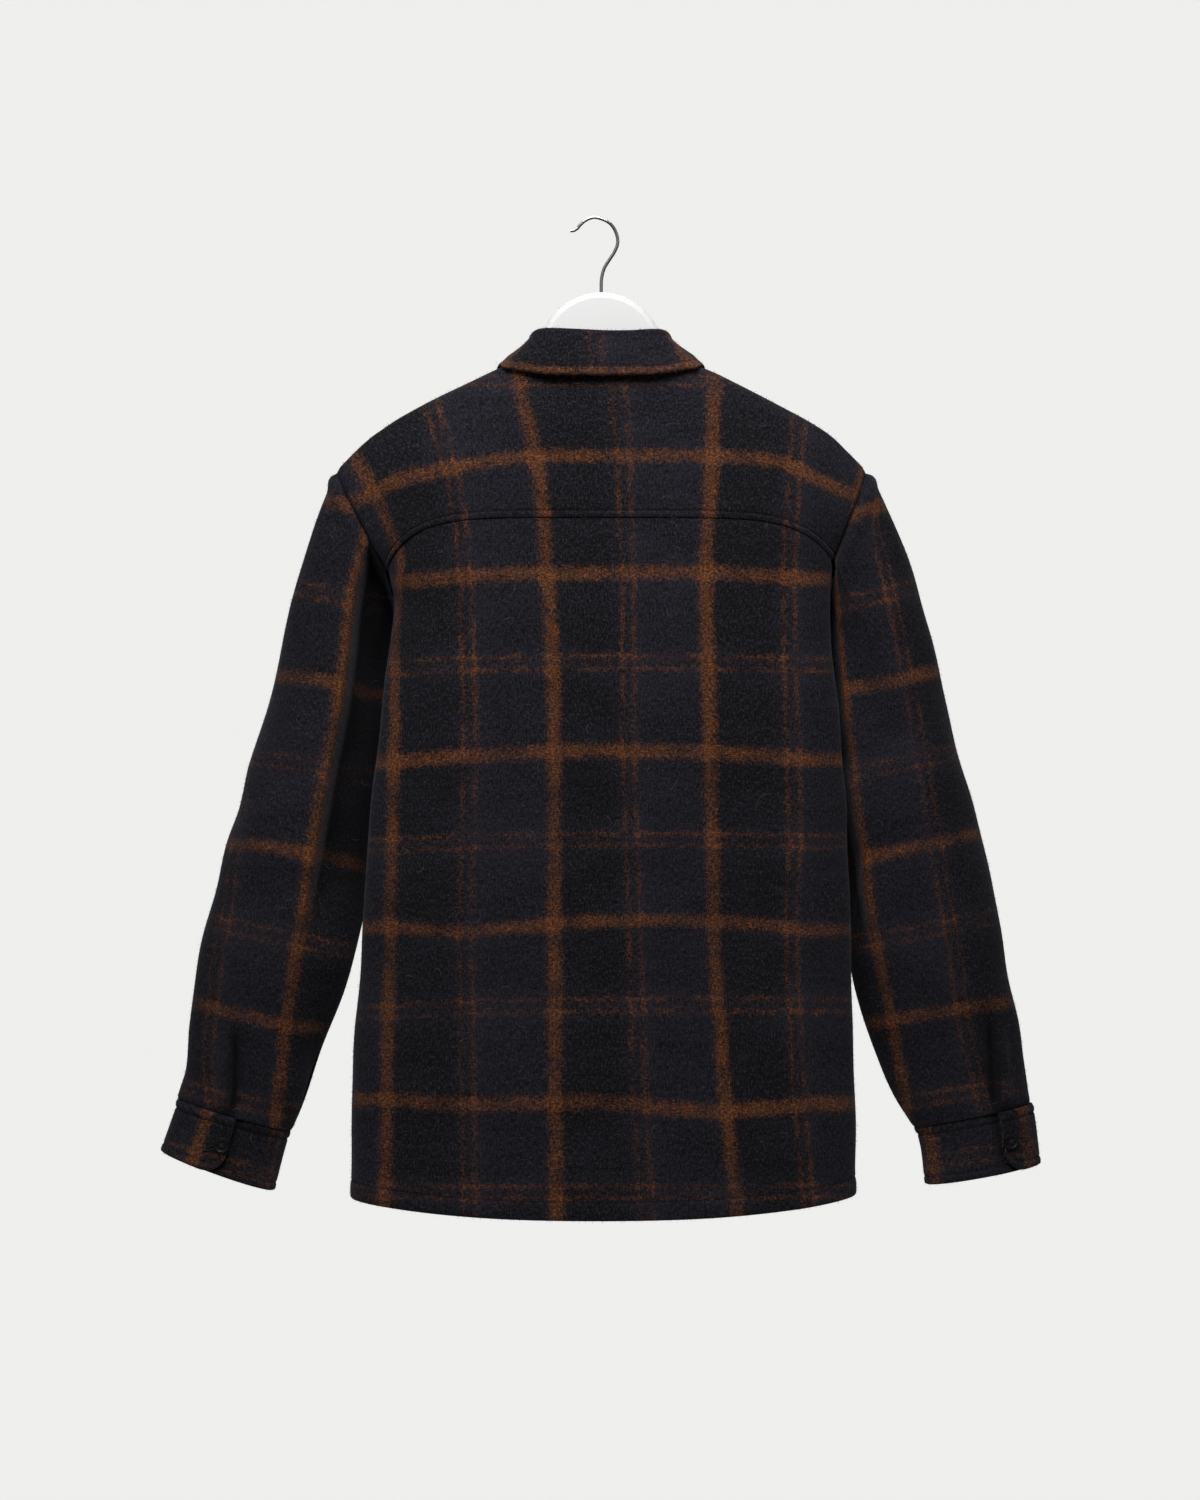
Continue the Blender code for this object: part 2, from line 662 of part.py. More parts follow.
def build_sleeve(grids, normals, side, cloth, button_look):
    """A sleeve that starts a gap away from the armhole, its cuff and the cuff's button."""
    name = SIDE_NAMES[side]
    loop = armhole_of(grids, side)
    underarm = len(TOP_SHARES) - 1 + ARMHOLE_STEPS
    arm = sleeve(loop, loop_angles(loop, underarm), side)
    arm_normals = normals_of(arm, side, closed=True)
    arm_normals[0] = unit(arm_normals[0] + np.array(armhole_of(normals, side)))
    shaped = inset(arm, top=SLEEVE_HEAD_GAP, bottom=SEAM_GAP / 2)
    wall(name + "_sleeve", shaped, arm_normals, PLY, cloth, closed=True)

    band = cuff(side)
    band_normals = normals_of(band, side)
    wall(name + "_cuff", band, band_normals, TWO_PLY, cloth)
    column = round(CUFF_BUTTON_SHARE * (band.shape[1] - 1))
    seat = band[1:3, column].mean(axis=0)
    button(name + "_cuff_button", seat, band_normals[1, column], CUFF_BUTTON_RADIUS, button_look)


def build_fronts(grids, normals, cloth):
    """Both fronts, the wearer's right one set in where the left one laps over it."""
    for side in SIDES:
        grid, facing = grids[side], normals[side]
        thickness = hem_thickness(len(grid))
        if side == 1:
            lap = np.zeros(grid.shape[1])
            lap[:4] = UNDER_LAP_SHARES
            grid = grid - facing * (lap * (thickness + UNDER_LAP_GAP))[..., None]
        shaped = inset(grid, SEAM_GAP / 2, 0, 0, SEAM_GAP / 2)
        wall(SIDE_NAMES[side] + "_front", shaped, facing, thickness, cloth)


def build_placket(grid, normals, cloth, button_look):
    """The strip sewn on the upper front's edge, with its row of buttons down the centre line."""
    strip = grid[:, :3] + normals[:, :3] * (SEAM_GAP + PLACKET_PLY)
    wall("front_placket", inset(strip, top=SEAM_GAP * 2), normals[:, :3], PLACKET_PLY, cloth)
    centre = {"z": strip[:, 1, 2], "x": strip[:, 1, 0], "y": strip[:, 1, 1]}
    for i, z in enumerate(np.linspace(FIRST_BUTTON_Z, LAST_BUTTON_Z, FRONT_BUTTONS)):
        seat = np.array([np.interp(-z, -centre["z"], centre[axis]) for axis in "xyz"])
        row = int(np.argmin(abs(centre["z"] - z)))
        button(f"front_button_{i + 1}", seat, normals[row, 1], BUTTON_RADIUS, button_look)


def build_collar(cloth, button_look):
    lap = lap_turn(NECK_HALF_WIDTH, NECK_SQUARENESS)
    over, under = (np.linspace(end - lap, end + lap, 3) for end in (-math.pi, math.pi))
    stand = stand_rows([*over, *np.linspace(over[-1], under[0], STAND_STEPS + 1)[1:-1], *under])
    stand_normals = normals_of(stand, -1)
    wall("collar_stand", stand, stand_normals, TWO_PLY, cloth)
    button("stand_button", stand[1, 1], stand_normals[1, 1], BUTTON_RADIUS, button_look)
    collar = collar_rows()
    wall("collar", collar, normals_of(collar, -1), TWO_PLY, cloth)


def build_garment(cloth, button_look):
    grids, normals = build_body()
    for side in SIDES:
        build_sleeve(grids, normals, side, cloth, button_look)
    half = SEAM_GAP / 2
    wall("back_yoke", inset(grids["yoke"], 0, half, half, half), normals["yoke"], PLY, cloth)
    back = inset(grids["back"], half, 0, half, half)
    wall("back_panel", back, normals["back"], hem_thickness(len(back)), cloth)
    build_fronts(grids, normals, cloth)
    build_placket(grids[-1], normals[-1], cloth, button_look)
    build_collar(cloth, button_look)


def build_hanger(plastic, steel):
    """A domed hanger whose arms follow the shoulder seams, and the wire hook in its crown."""
    arm_xs = np.linspace(ARM_START_X, ARM_END_X, 12)
    arm_top = [(x, along(SHOULDER, "x", x, "z") - HANGER_INSET) for x in arm_xs if x > NECK_HALF_WIDTH]
    arm_top.insert(0, (ARM_START_X, NECK_POINT_Z - HANGER_INSET - 0.003))
    dome = [
        (DOME_RADIUS * math.sin(a), DOME_TOP_Z - DOME_RADIUS * (1 - math.cos(a)))
        for a in np.linspace(0, math.pi / 2, 9)
    ]
    under = []
    for x, z in reversed(arm_top[1:]):
        reach = (x - ARM_START_X) / (ARM_END_X - ARM_START_X)
        under.append((x, z - HANGER_EDGE * 2 - ARM_DEPTH * math.cos(reach * math.pi / 2) ** 0.7))
    right = dome + arm_top + under
    outline = right + [(-x, z) for x, z in reversed(right) if x > 0]
    curve = bpy.data.curves.new("hanger_body", "CURVE")
    curve.dimensions = "2D"
    curve.fill_mode = "BOTH"
    curve.extrude = HANGER_THICKNESS / 2 - HANGER_EDGE
    curve.bevel_depth = HANGER_EDGE
    curve.bevel_resolution = 2
    curve.offset = -HANGER_EDGE
    line = curve.splines.new("POLY")
    line.points.add(len(outline) - 1)
    for point, (x, z) in zip(line.points, outline):
        point.co = (x, z, 0, 1)
    line.use_cyclic_u = True
    body_piece = gather(bpy.data.objects.new("hanger_body", curve), plastic)
    body_piece.rotation_euler = (math.pi / 2, 0, 0)

    reach = np.concatenate([[0], np.cumsum(np.hypot(np.diff(HOOK["x"]), np.diff(HOOK["z"])))])
    path = {"reach": reach, "x": HOOK["x"], "z": HOOK["z"]}
    wire = bpy.data.curves.new("hanger_hook", "CURVE")
    wire.dimensions = "3D"
    wire.bevel_depth = WIRE_RADIUS
    wire.bevel_resolution = 2
    wire.use_fill_caps = True
    bend = wire.splines.new("POLY")
    steps = np.linspace(0, reach[-1], 30)
    bend.points.add(len(steps) - 1)
    for point, step in zip(bend.points, steps):
        point.co = (along(path, "reach", step, "x"), 0, along(path, "reach", step, "z"), 1)
    gather(bpy.data.objects.new("hanger_hook", wire), steel)


for old in list(bpy.data.objects):
    bpy.data.objects.remove(old)
bpy.context.scene.collection.children.link(bpy.data.collections.new("shacket_on_hanger"))
garment = bpy.data.objects.new("garment", None)
garment.location = (GARMENT_X, 0, 0)
bpy.data.collections["shacket_on_hanger"].objects.link(garment)
build_garment(
    material("brushed_wool", (0.013, 0.012, 0.014), 0.92),
    material("dark_horn_plastic", (0.015, 0.012, 0.012), 0.35),
)
build_hanger(
    material("white_plastic", (0.83, 0.83, 0.82), 0.3),
    material("polished_steel", (0.62, 0.62, 0.63), 0.15, 1.0),
)
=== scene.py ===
# The looks of a checked wool shacket on its hanger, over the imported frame.
# Metres, +Z up. The origin is where a rail carries the hook, and the garment's back faces -Y.
import math

import bmesh
import bpy
import numpy as np
from mathutils import Matrix, Vector


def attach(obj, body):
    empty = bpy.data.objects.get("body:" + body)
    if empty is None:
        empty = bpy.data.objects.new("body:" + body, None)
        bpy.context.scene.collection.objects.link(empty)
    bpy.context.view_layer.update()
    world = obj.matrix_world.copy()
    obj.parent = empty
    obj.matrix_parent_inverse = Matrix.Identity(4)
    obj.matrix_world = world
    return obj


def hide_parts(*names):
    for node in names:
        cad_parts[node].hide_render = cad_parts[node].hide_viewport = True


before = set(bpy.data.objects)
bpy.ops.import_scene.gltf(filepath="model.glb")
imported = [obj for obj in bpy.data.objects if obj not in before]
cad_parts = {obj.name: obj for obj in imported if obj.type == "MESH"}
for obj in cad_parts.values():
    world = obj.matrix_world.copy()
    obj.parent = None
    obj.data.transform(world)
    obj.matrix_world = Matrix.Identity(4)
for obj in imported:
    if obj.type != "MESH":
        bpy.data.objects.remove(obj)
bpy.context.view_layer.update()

print("frame loaded,", len(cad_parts), "pieces")


def table(columns, *rows):
    return dict(zip(columns.split(), np.array(rows, float).T))


# The camera, level with the middle of the garment
camera = {"x": 0.0054, "z": -0.477, "distance": 2.8, "height": 1.35, "sensor": 36}

# The garment's form, the same as in the frame. Angles of a section go round from centre back.
garment = {
    "x": 0.0063,
    "ply": 0.0026,
    "twoPly": 0.0040,
    "hemZ": -0.892,
    "hemDepth": 0.0165,
    "hemRise": {-1: 0.0125, 1: 0.0155},
    "underarmZ": -0.468,
    "yokeZ": -0.2715,
    "yokeDrop": {-1: 0.0465, 1: 0.0365},
    "yokeBend": 6.3,
    "chestZ": -0.310,
    "sideSeam": math.radians(102),
    "squareness": 0.8,
    "dentMiddle": math.radians(125),
    "dentReach": math.radians(55),
    "columnBias": 1.25,
    "overlap": 0.0175,
}
neck = {
    "halfWidth": 0.080,
    "back": 0.040,
    "front": 0.056,
    "squareness": 0.9,
    "backZ": -0.1375,
    "pointZ": -0.1285,
    "frontZ": -0.2050,
}
stand = {
    "halfWidth": 0.0595,
    "backZ": -0.1118,
    "sideZ": -0.1060,
    "frontZ": -0.1800,
    "sideDrop": 0.0055,     # the fold turns down at the sides of the neck
    "lift": 0.0036,
    "foldRadius": 0.0050,
    "foldLift": 0.0024,
}
bodyForm = table(
    "z       halfWidth shift  backDepth frontDepth dent",
    (-0.240, 0.2150, 0.0050, 0.050, 0.043, 0.000),
    (-0.270, 0.2120, 0.0055, 0.053, 0.046, 0.000),
    (-0.300, 0.2060, 0.0065, 0.055, 0.049, 0.003),
    (-0.335, 0.1990, 0.0095, 0.058, 0.052, 0.012),
    (-0.375, 0.2020, 0.0082, 0.060, 0.055, 0.022),
    (-0.430, 0.2090, 0.0084, 0.062, 0.058, 0.033),
    (-0.485, 0.2145, 0.0080, 0.062, 0.060, 0.038),
    (-0.540, 0.2195, 0.0064, 0.062, 0.060, 0.034),
    (-0.600, 0.2215, 0.0053, 0.062, 0.060, 0.024),
    (-0.665, 0.2225, 0.0044, 0.062, 0.060, 0.012),
    (-0.735, 0.2250, 0.0024, 0.063, 0.060, 0.003),
    (-0.900, 0.2275, 0.0022, 0.064, 0.060, 0.000),
)
backArmhole = table(
    "z       turn",
    (-0.290, 66),
    (-0.320, 84),
    (-0.350, 94),
    (-0.390, 99),
    (-0.430, 101),
    (-0.468, 102),
)
frontArmhole = table(
    "z       turn",
    (-0.310, 124),
    (-0.350, 121),
    (-0.400, 117),
    (-0.440, 110),
    (-0.468, 102),
)
shoulderLine = table(
    "x       z",
    (0.0800, -0.1285),
    (0.1050, -0.1392),
    (0.1340, -0.1532),
    (0.1625, -0.1676),
    (0.1885, -0.1820),
    (0.2097, -0.1964),
    (0.2245, -0.2106),
    (0.2385, -0.2255),
)
yokeEdge = table(
    "share x      y       z",
    (0.0, 0.2385, 0.0000, -0.2255),
    (0.02, 0.2382, -0.0045, -0.2263),
    (0.08, 0.2365, -0.0105, -0.2310),
    (0.3, 0.2290, -0.0190, -0.2500),
    (0.6, 0.2170, -0.0230, -0.2760),
    (1.0, 0.2020, -0.0170, -0.3080),
)
chestEdge = table(
    "share x      y       z",
    (0.0, 0.2385, 0.0000, -0.2255),
    (0.02, 0.2382, 0.0045, -0.2263),
    (0.08, 0.2365, 0.0105, -0.2310),
    (0.3, 0.2290, 0.0210, -0.2460),
    (0.6, 0.2060, 0.0290, -0.2740),
    (1.0, 0.1760, 0.0300, -0.3100),
)
sleeveColumns = "length x      y      z       halfWidth halfDepth tilt"
sleeveForm = {
    -1: table(
        sleeveColumns,
        (0.000, 0.2548, 0.036, -0.4989, 0.0665, 0.048, 15.0),
        (0.095, 0.2777, 0.038, -0.5900, 0.0680, 0.046, 14.0),
        (0.190, 0.3004, 0.040, -0.6830, 0.0677, 0.042, 12.4),
        (0.247, 0.3155, 0.042, -0.7377, 0.0615, 0.036, 12.0),
        (0.298, 0.3269, 0.043, -0.7879, 0.0562, 0.031, 15.0),
        (0.321, 0.3346, 0.044, -0.8093, 0.0548, 0.029, 16.0),
        (0.376, 0.3499, 0.045, -0.8617, 0.0560, 0.030, 19.7),
    ),
    1: table(
        sleeveColumns,
        (0.000, 0.2617, 0.036, -0.4970, 0.0665, 0.048, 13.5),
        (0.095, 0.2840, 0.038, -0.5880, 0.0690, 0.046, 12.5),
        (0.190, 0.3012, 0.040, -0.6830, 0.0705, 0.042, 11.0),
        (0.247, 0.3150, 0.042, -0.7373, 0.0672, 0.036, 10.5),
        (0.298, 0.3287, 0.043, -0.7856, 0.0601, 0.031, 11.8),
        (0.321, 0.3382, 0.044, -0.8098, 0.0552, 0.029, 11.3),
        (0.376, 0.3478, 0.045, -0.8649, 0.0530, 0.030, 10.5),
    ),
}
collarEdge = table(
    "share x      y       z",
    (0.00, 0.0000, -0.0560, -0.1462),
    (0.25, 0.0545, -0.0495, -0.1434),
    (0.42, 0.0850, -0.0275, -0.1352),
    (0.55, 0.0945, 0.0040, -0.1290),
    (0.75, 0.0900, 0.0480, -0.1660),
    (1.00, 0.0470, 0.0740, -0.2360),
)

# The check: strong rust lines one repeat apart, faint double ones halfway between them
check = {"across": 0.145, "along": 0.157}

# Where the photo shows the check's lines, in the plane of the hook
backLines = table(
    "z       line-2  line-1  line0   line1   line2   line3",
    (-0.150, -0.270, -0.1600, -0.0745, 0.0150, 0.1030, 0.1810),
    (-0.180, -0.250, -0.1485, -0.0665, 0.0180, 0.1015, 0.1790),
    (-0.225, -0.216, -0.1355, -0.0570, 0.0200, 0.0995, 0.1745),
    (-0.270, -0.193, -0.1270, -0.0520, 0.0225, 0.0965, 0.1720),
    (-0.306, -0.181, -0.1230, -0.0500, 0.0235, 0.0945, 0.1705),
    (-0.342, -0.184, -0.1205, -0.0470, 0.0245, 0.0940, 0.1700),
    (-0.387, -0.188, -0.1200, -0.0435, 0.0245, 0.0955, 0.1710),
    (-0.477, -0.187, -0.1180, -0.0415, 0.0245, 0.0980, 0.1730),
    (-0.560, -0.1885, -0.1200, -0.0415, 0.0275, 0.1000, 0.1745),
    (-0.636, -0.190, -0.1225, -0.0415, 0.0305, 0.1015, 0.1710),
    (-0.720, -0.192, -0.1210, -0.0410, 0.0330, 0.1070, 0.1745),
    (-0.801, -0.194, -0.1195, -0.0410, 0.0350, 0.1135, 0.1790),
    (-0.890, -0.196, -0.1180, -0.0405, 0.0415, 0.1235, 0.1870),
)
backBands = table(
    "x       band0   band1   band2   band3   band4   band5   band6   band7",
    (-0.190, -0.3265, -0.4030, -0.4880, -0.5625, -0.6365, -0.7130, -0.7910, -0.8740),
    (-0.136, -0.3215, -0.4005, -0.4835, -0.5605, -0.6400, -0.7090, -0.7955, -0.8750),
    (0.0000, -0.3175, -0.3980, -0.4780, -0.5580, -0.6310, -0.7065, -0.7945, -0.8750),
    (0.1100, -0.3175, -0.3985, -0.4800, -0.5580, -0.6315, -0.7055, -0.8030, -0.8750),
    (0.1900, -0.3230, -0.4000, -0.4860, -0.5590, -0.6390, -0.7060, -0.7955, -0.8740),
)
yokeBand = table(
    "x       z",
    (-0.224, -0.2540),
    (-0.208, -0.2475),
    (-0.185, -0.2360),
    (-0.145, -0.2260),
    (-0.095, -0.2165),
    (-0.060, -0.2120),
    (0.0000, -0.2115),
    (0.1030, -0.2125),
    (0.1610, -0.2180),
    (0.2060, -0.2385),
    (0.2240, -0.2450),
)
yokeFaintZ = -0.1440
sleeveLines = {
    -1: table(
        "z       strong   faint",
        (-0.285, -0.2125, -0.265),
        (-0.338, -0.2240, -0.283),
        (-0.393, -0.2305, -0.298),
        (-0.438, -0.2360, -0.308),
        (-0.522, -0.2520, -0.323),
        (-0.612, -0.2665, -0.336),
        (-0.684, -0.2780, -0.347),
        (-0.744, -0.2860, -0.353),
        (-0.816, -0.2945, -0.348),
    ),
    1: table(
        "z       strong   faint",
        (-0.285, 0.2080, 0.248),
        (-0.342, 0.2130, 0.262),
        (-0.432, 0.2200, 0.279),
        (-0.567, 0.2360, 0.302),
        (-0.666, 0.2500, 0.319),
        (-0.721, 0.2610, 0.326),
        (-0.800, 0.2750, 0.347),
    ),
}
sleeveBands = {
    -1: table(
        "x       band0   band1   band2   band3",
        (-0.370, -0.2350, -0.3950, -0.5560, -0.7020),
        (-0.330, -0.2390, -0.4040, -0.5610, -0.7140),
        (-0.286, -0.2440, -0.4100, -0.5660, -0.7240),
        (-0.245, -0.2520, -0.4160, -0.5750, -0.7300),
        (-0.208, -0.2660, -0.4270, -0.5850, -0.7340),
    ),
    1: table(
        "x       band0   band1   band2   band3",
        (0.2200, -0.2680, -0.4230, -0.5760, -0.7270),
        (0.2620, -0.2540, -0.4150, -0.5690, -0.7200),
        (0.2970, -0.2450, -0.4070, -0.5610, -0.7140),
        (0.3340, -0.2360, -0.4010, -0.5530, -0.7080),
        (0.3750, -0.2270, -0.3950, -0.5470, -0.7020),
    ),
}


def hermite(t, start, end, leaving, arriving, width=1):
    # From start to end, with the slopes that it leaves and arrives with
    return (
        (2 * t**3 - 3 * t**2 + 1) * start
        + (t**3 - 2 * t**2 + t) * width * leaving
        + (3 * t**2 - 2 * t**3) * end
        + (t**3 - t**2) * width * arriving
    )


def along(rows, key, value, column):
    # A smooth curve through the table's rows
    keys, points = rows[key], rows[column]
    if keys[0] > keys[-1]:
        keys, points = keys[::-1], points[::-1]
    slopes = np.gradient(points, keys)
    value = np.asarray(value, float)
    i = np.clip(np.searchsorted(keys, value) - 1, 0, len(keys) - 2)
    width = keys[i + 1] - keys[i]
    t = np.clip((value - keys[i]) / width, 0, 1)
    return hermite(t, points[i], points[i + 1], slopes[i], slopes[i + 1], width)


def placed(rows, key, value, side):
    x, y, z = (along(rows, key, value, column) for column in "xyz")
    return np.stack([side * x, y, z], -1)


def ease(t):
    t = np.clip(t, 0, 1)
    return t * t * (3 - 2 * t)


def power(value, exponent):
    return np.sign(value) * np.abs(value) ** exponent


def unit(vectors):
    return vectors / np.maximum(np.linalg.norm(vectors, axis=-1, keepdims=True), 1e-12)


def walked(points, axis):
    # Distance along the rows or columns of a grid, from its first edge
    steps = np.linalg.norm(np.diff(points, axis=axis), axis=-1)
    return np.concatenate([np.zeros_like(np.take(steps, [0], axis)), np.cumsum(steps, axis)], axis)


def stations(start, end, step, *dense):
    # Values from start to end a step apart, with more of them near the dense places
    count = max(round(abs(end - start) / step), 2)
    values = list(np.linspace(start, end, count + 1))
    for place, reach, fine in dense:
        near = np.arange(place - reach, place + reach + fine / 2, fine)
        values = [v for v in values if abs(v - place) > reach] + list(near)
    low, high = min(start, end), max(start, end)
    values = sorted({round(min(max(v, low), high), 6) for v in values}, reverse=start > end)
    return np.array(values)


def facing(grid, outward):
    across, down = np.gradient(grid, axis=1), np.gradient(grid, axis=0)
    return unit(np.cross(across, down) * outward)


def seen(points):
    # Where the camera sees a point, in the plane of the hook
    scale = camera["distance"] / (camera["distance"] + points[..., 1])
    left = camera["x"] - garment["x"]
    return left + (points[..., 0] - left) * scale, camera["z"] + (points[..., 2] - camera["z"]) * scale


def crossings(distance, offset, middle):
    # How far along each path it meets a line on the side that shows, or nan where it doesn't
    result = np.full(len(distance), np.nan)
    for i, (walk, path) in enumerate(zip(distance, offset)):
        change = np.nonzero(path[:-1] * path[1:] <= 0)[0]
        if len(change):
            j = change[np.argmin(np.abs(change - middle * len(path)))]
            share = path[j] / (path[j] - path[j + 1]) if path[j] != path[j + 1] else 0
            result[i] = walk[j] + share * (walk[j + 1] - walk[j])
    return result


def checkPlaces(distance, lines, direction=1, middle=0.5):
    # The check's coordinate along each path, from the places where it meets lines that the photo shows.
    # Where a path misses a line, the line keeps its distance from the one that the most paths meet.
    met = [(crossings(distance, offset, middle), value) for offset, value in lines]
    main = max(met, key=lambda line: np.isfinite(line[0]).sum())[0]
    rows = np.arange(len(distance))
    main = np.interp(rows, rows[np.isfinite(main)], main[np.isfinite(main)])
    places = []
    for place, value in met:
        known = np.isfinite(place)
        if known.sum() > 3:
            place = main + np.interp(rows, rows[known], (place - main)[known])
            places.append((place, value))
    result = np.empty_like(distance)
    for i, walk in enumerate(distance):
        at, values = np.array(sorted((place[i], value) for place, value in places)).T
        row = np.interp(walk, at, values)
        before, after = walk < at[0], walk > at[-1]
        row[before] = values[0] + direction * (walk[before] - at[0])
        row[after] = values[-1] + direction * (walk[after] - at[-1])
        result[i] = row
    return result


def hump(distance, width):
    return np.exp(-((distance / width) ** 2))


def seam(distance, depth=0.0013, width=0.0022):
    # The edge of a panel turns in at its seam
    return -depth * hump(distance, width)


def stitched(distance, reach, puff=0.0006, groove=0.0007):
    # The band between an edge and its row of stitches stands up, and the stitches pull the cloth in
    inside = np.clip(distance / reach, 0, 1)
    band = puff * np.sin(math.pi * inside) ** 0.8 * (distance < reach)
    return band - groove * hump(distance - reach, 0.0011)


def curled(distance, radius):
    # How far a rounded edge has turned in
    return radius - np.sqrt(np.maximum(radius**2 - np.maximum(radius - distance, 0) ** 2, 0))


def faded(height, reach, *distances):
    # Down to nothing at each of the edges
    for distance in distances:
        height = height * ease(distance / reach)
    return height


def toBothEnds(around):
    return np.minimum(around, around[:, -1:] - around)


def folds(cut, rows):
    # Soft troughs and ridges between two places on the cut: their ends, height and width
    height = np.zeros(cut.shape[:2])
    for u1, v1, u2, v2, rise, width in rows:
        start, run = np.array([u1, v1]), np.array([u2 - u1, v2 - v1])
        share = ((cut - start) @ run) / (run @ run)
        gap = np.linalg.norm(cut - start - np.clip(share, 0, 1)[..., None] * run, axis=-1)
        height += rise * hump(gap, width) * (0.45 + 0.55 * np.sin(math.pi * np.clip(share, 0.02, 0.98)))
    return height


def unevenness(cut, size, seed):
    # A slight wave all over the cloth, from a few sines in seeded directions
    draw = np.random.default_rng(seed)
    height = np.zeros(cut.shape[:2])
    for wave in draw.uniform(0.05, 0.16, 9):
        turn, phase = draw.uniform(0, 2 * math.pi, 2)
        place = cut[..., 0] * math.cos(turn) + cut[..., 1] * math.sin(turn)
        height += np.sin(place * 2 * math.pi / wave + phase)
    return height * size / 3


def deselectAll():
    if bpy.context.mode != "OBJECT":
        bpy.ops.object.mode_set(mode="OBJECT")
    bpy.ops.object.select_all(action="DESELECT")


cloths = {}     # each piece's grid, cut and painted shade (seams, stitch grooves, slits, recesses), kept for its nap, hairs and stitches


def clothPiece(label, points, cut, outward, thickness, node, thicker=None, pressed=None):
    # A grid laid on the points, with the cut as its UV map and Solidify for its thickness
    rows, columns = points.shape[:2]
    mark = np.zeros((rows, columns)) if pressed is None else pressed
    cloths[label] = {"points": points, "cut": cut, "outward": outward, "pressed": mark}
    deselectAll()
    bpy.ops.mesh.primitive_grid_add(x_subdivisions=columns - 1, y_subdivisions=rows - 1, size=1)
    made = bpy.context.object
    made.name = made.data.name = label + "Cloth"
    mesh = made.data
    world = points.reshape(-1, 3) + np.array([garment["x"], 0, 0])
    mesh.vertices.foreach_set("co", world.astype(np.float32).ravel())
    corner = np.zeros(len(mesh.loops), np.int32)
    mesh.loops.foreach_get("vertex_index", corner)
    mesh.uv_layers[0].name = "cut"
    mesh.uv_layers["cut"].data.foreach_set("uv", cut.reshape(-1, 2)[corner].astype(np.float32).ravel())
    # Painted shade: a point attribute, high in seams, stitch grooves, slits and recesses, that darkens the
    # wool
    shadeAttribute = mesh.attributes.new("pressed", "FLOAT", "POINT")
    shadeAttribute.data.foreach_set("value", mark.astype(np.float32).ravel())
    if outward < 0:
        bpy.ops.object.mode_set(mode="EDIT")
        bpy.ops.mesh.select_all(action="SELECT")
        bpy.ops.mesh.flip_normals()
        bpy.ops.object.mode_set(mode="OBJECT")
    wall = made.modifiers.new("ply", "SOLIDIFY")
    wall.thickness, wall.offset = thickness, -1
    if thicker is not None:
        group = made.vertex_groups.new(name="thickness")
        for weight in np.unique(thicker):
            group.add(np.nonzero(thicker.ravel() == weight)[0].tolist(), float(weight), "REPLACE")
        wall.vertex_group = "thickness"
    bpy.ops.object.modifier_apply(modifier="ply")
    bpy.ops.object.shade_smooth()
    made.data.materials.append(woolCloth)
    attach(made, "root")
    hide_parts(node)
    print(label, "area", round(gridArea(points), 4))
    return made


def repeated(name, made, places, axes, sizes, cut, material):
    # One modelled shape as many times as there are places, each turned and sized to its own axes
    made.name = made.data.name = name
    one = np.zeros(len(made.data.vertices) * 3, np.float32)
    made.data.vertices.foreach_get("co", one)
    corners = len(made.data.loops)
    array = made.modifiers.new("copies", "ARRAY")
    array.use_relative_offset, array.count = False, len(places)
    bpy.ops.object.modifier_apply(modifier="copies")
    one = one.reshape(-1, 3)
    world = places[:, None] + np.einsum("nki,nij->nkj", one[None] * sizes[:, None], axes)
    world = world + np.array([garment["x"], 0, 0])
    made.data.vertices.foreach_set("co", world.astype(np.float32).ravel())
    if cut is not None:
        made.data.uv_layers[0].name = "cut"
        spread = np.repeat(cut, corners, axis=0)
        made.data.uv_layers["cut"].data.foreach_set("uv", spread.astype(np.float32).ravel())
    made.data.update()
    made.data.materials.clear()
    made.data.materials.append(material)
    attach(made, "root")
    return made


def cellAreas(points):
    across, down = np.diff(points, axis=1)[:-1], np.diff(points, axis=0)[:, :-1]
    return np.linalg.norm(np.cross(across, down), axis=-1)


def gridArea(points):
    return float(cellAreas(points).sum())


def onGrid(cloth, count, draw, sparing=0):
    # Places spread evenly over a cloth, with their cut, normal and the way down it. Sparing is how much of
    # them its painted shade keeps off.
    points, cut = cloth["points"], cloth["cut"]
    area = cellAreas(points)
    if sparing:
        area = area * (1 - sparing * np.clip(cloth["pressed"][:-1, :-1], 0, 1))
    cell = draw.choice(area.size, count, p=area.ravel() / area.sum())
    i, j = np.unravel_index(cell, area.shape)
    a, b = draw.random((count, 1)), draw.random((count, 1))
    normals, down = facing(points, cloth["outward"]), unit(np.gradient(points, axis=0))

    def mixed(values):
        top = values[i, j] * (1 - b) + values[i, j + 1] * b
        return top * (1 - a) + (values[i + 1, j] * (1 - b) + values[i + 1, j + 1] * b) * a

    return mixed(points), mixed(cut), unit(mixed(normals)), unit(mixed(down))


def hairAxes(normal, down, lift, swing):
    # Along the hair, across it and away from it
    sideways = unit(np.cross(normal, down))
    flat = down * np.cos(swing)[:, None] + sideways * np.sin(swing)[:, None]
    along = unit(flat * np.cos(lift)[:, None] + normal * np.sin(lift)[:, None])
    across = unit(np.cross(normal, along))
    return np.stack([along, across, np.cross(along, across)], axis=1)


nap = {
    "perSquareMetre": 120000,
    "most": 170000,      # on one piece
    "length": (0.0016, 0.0042),
    "width": 0.00026,
    "lift": (8, 50),     # degrees off the cloth
    "swing": 0.75,
    "sunk": 0.0001,
    "jitter": 0.0012,    # how far a blade's colour strays on the check
    # sparing: how much of the nap the painted shade keeps off
    "sparing": 0.92,
}


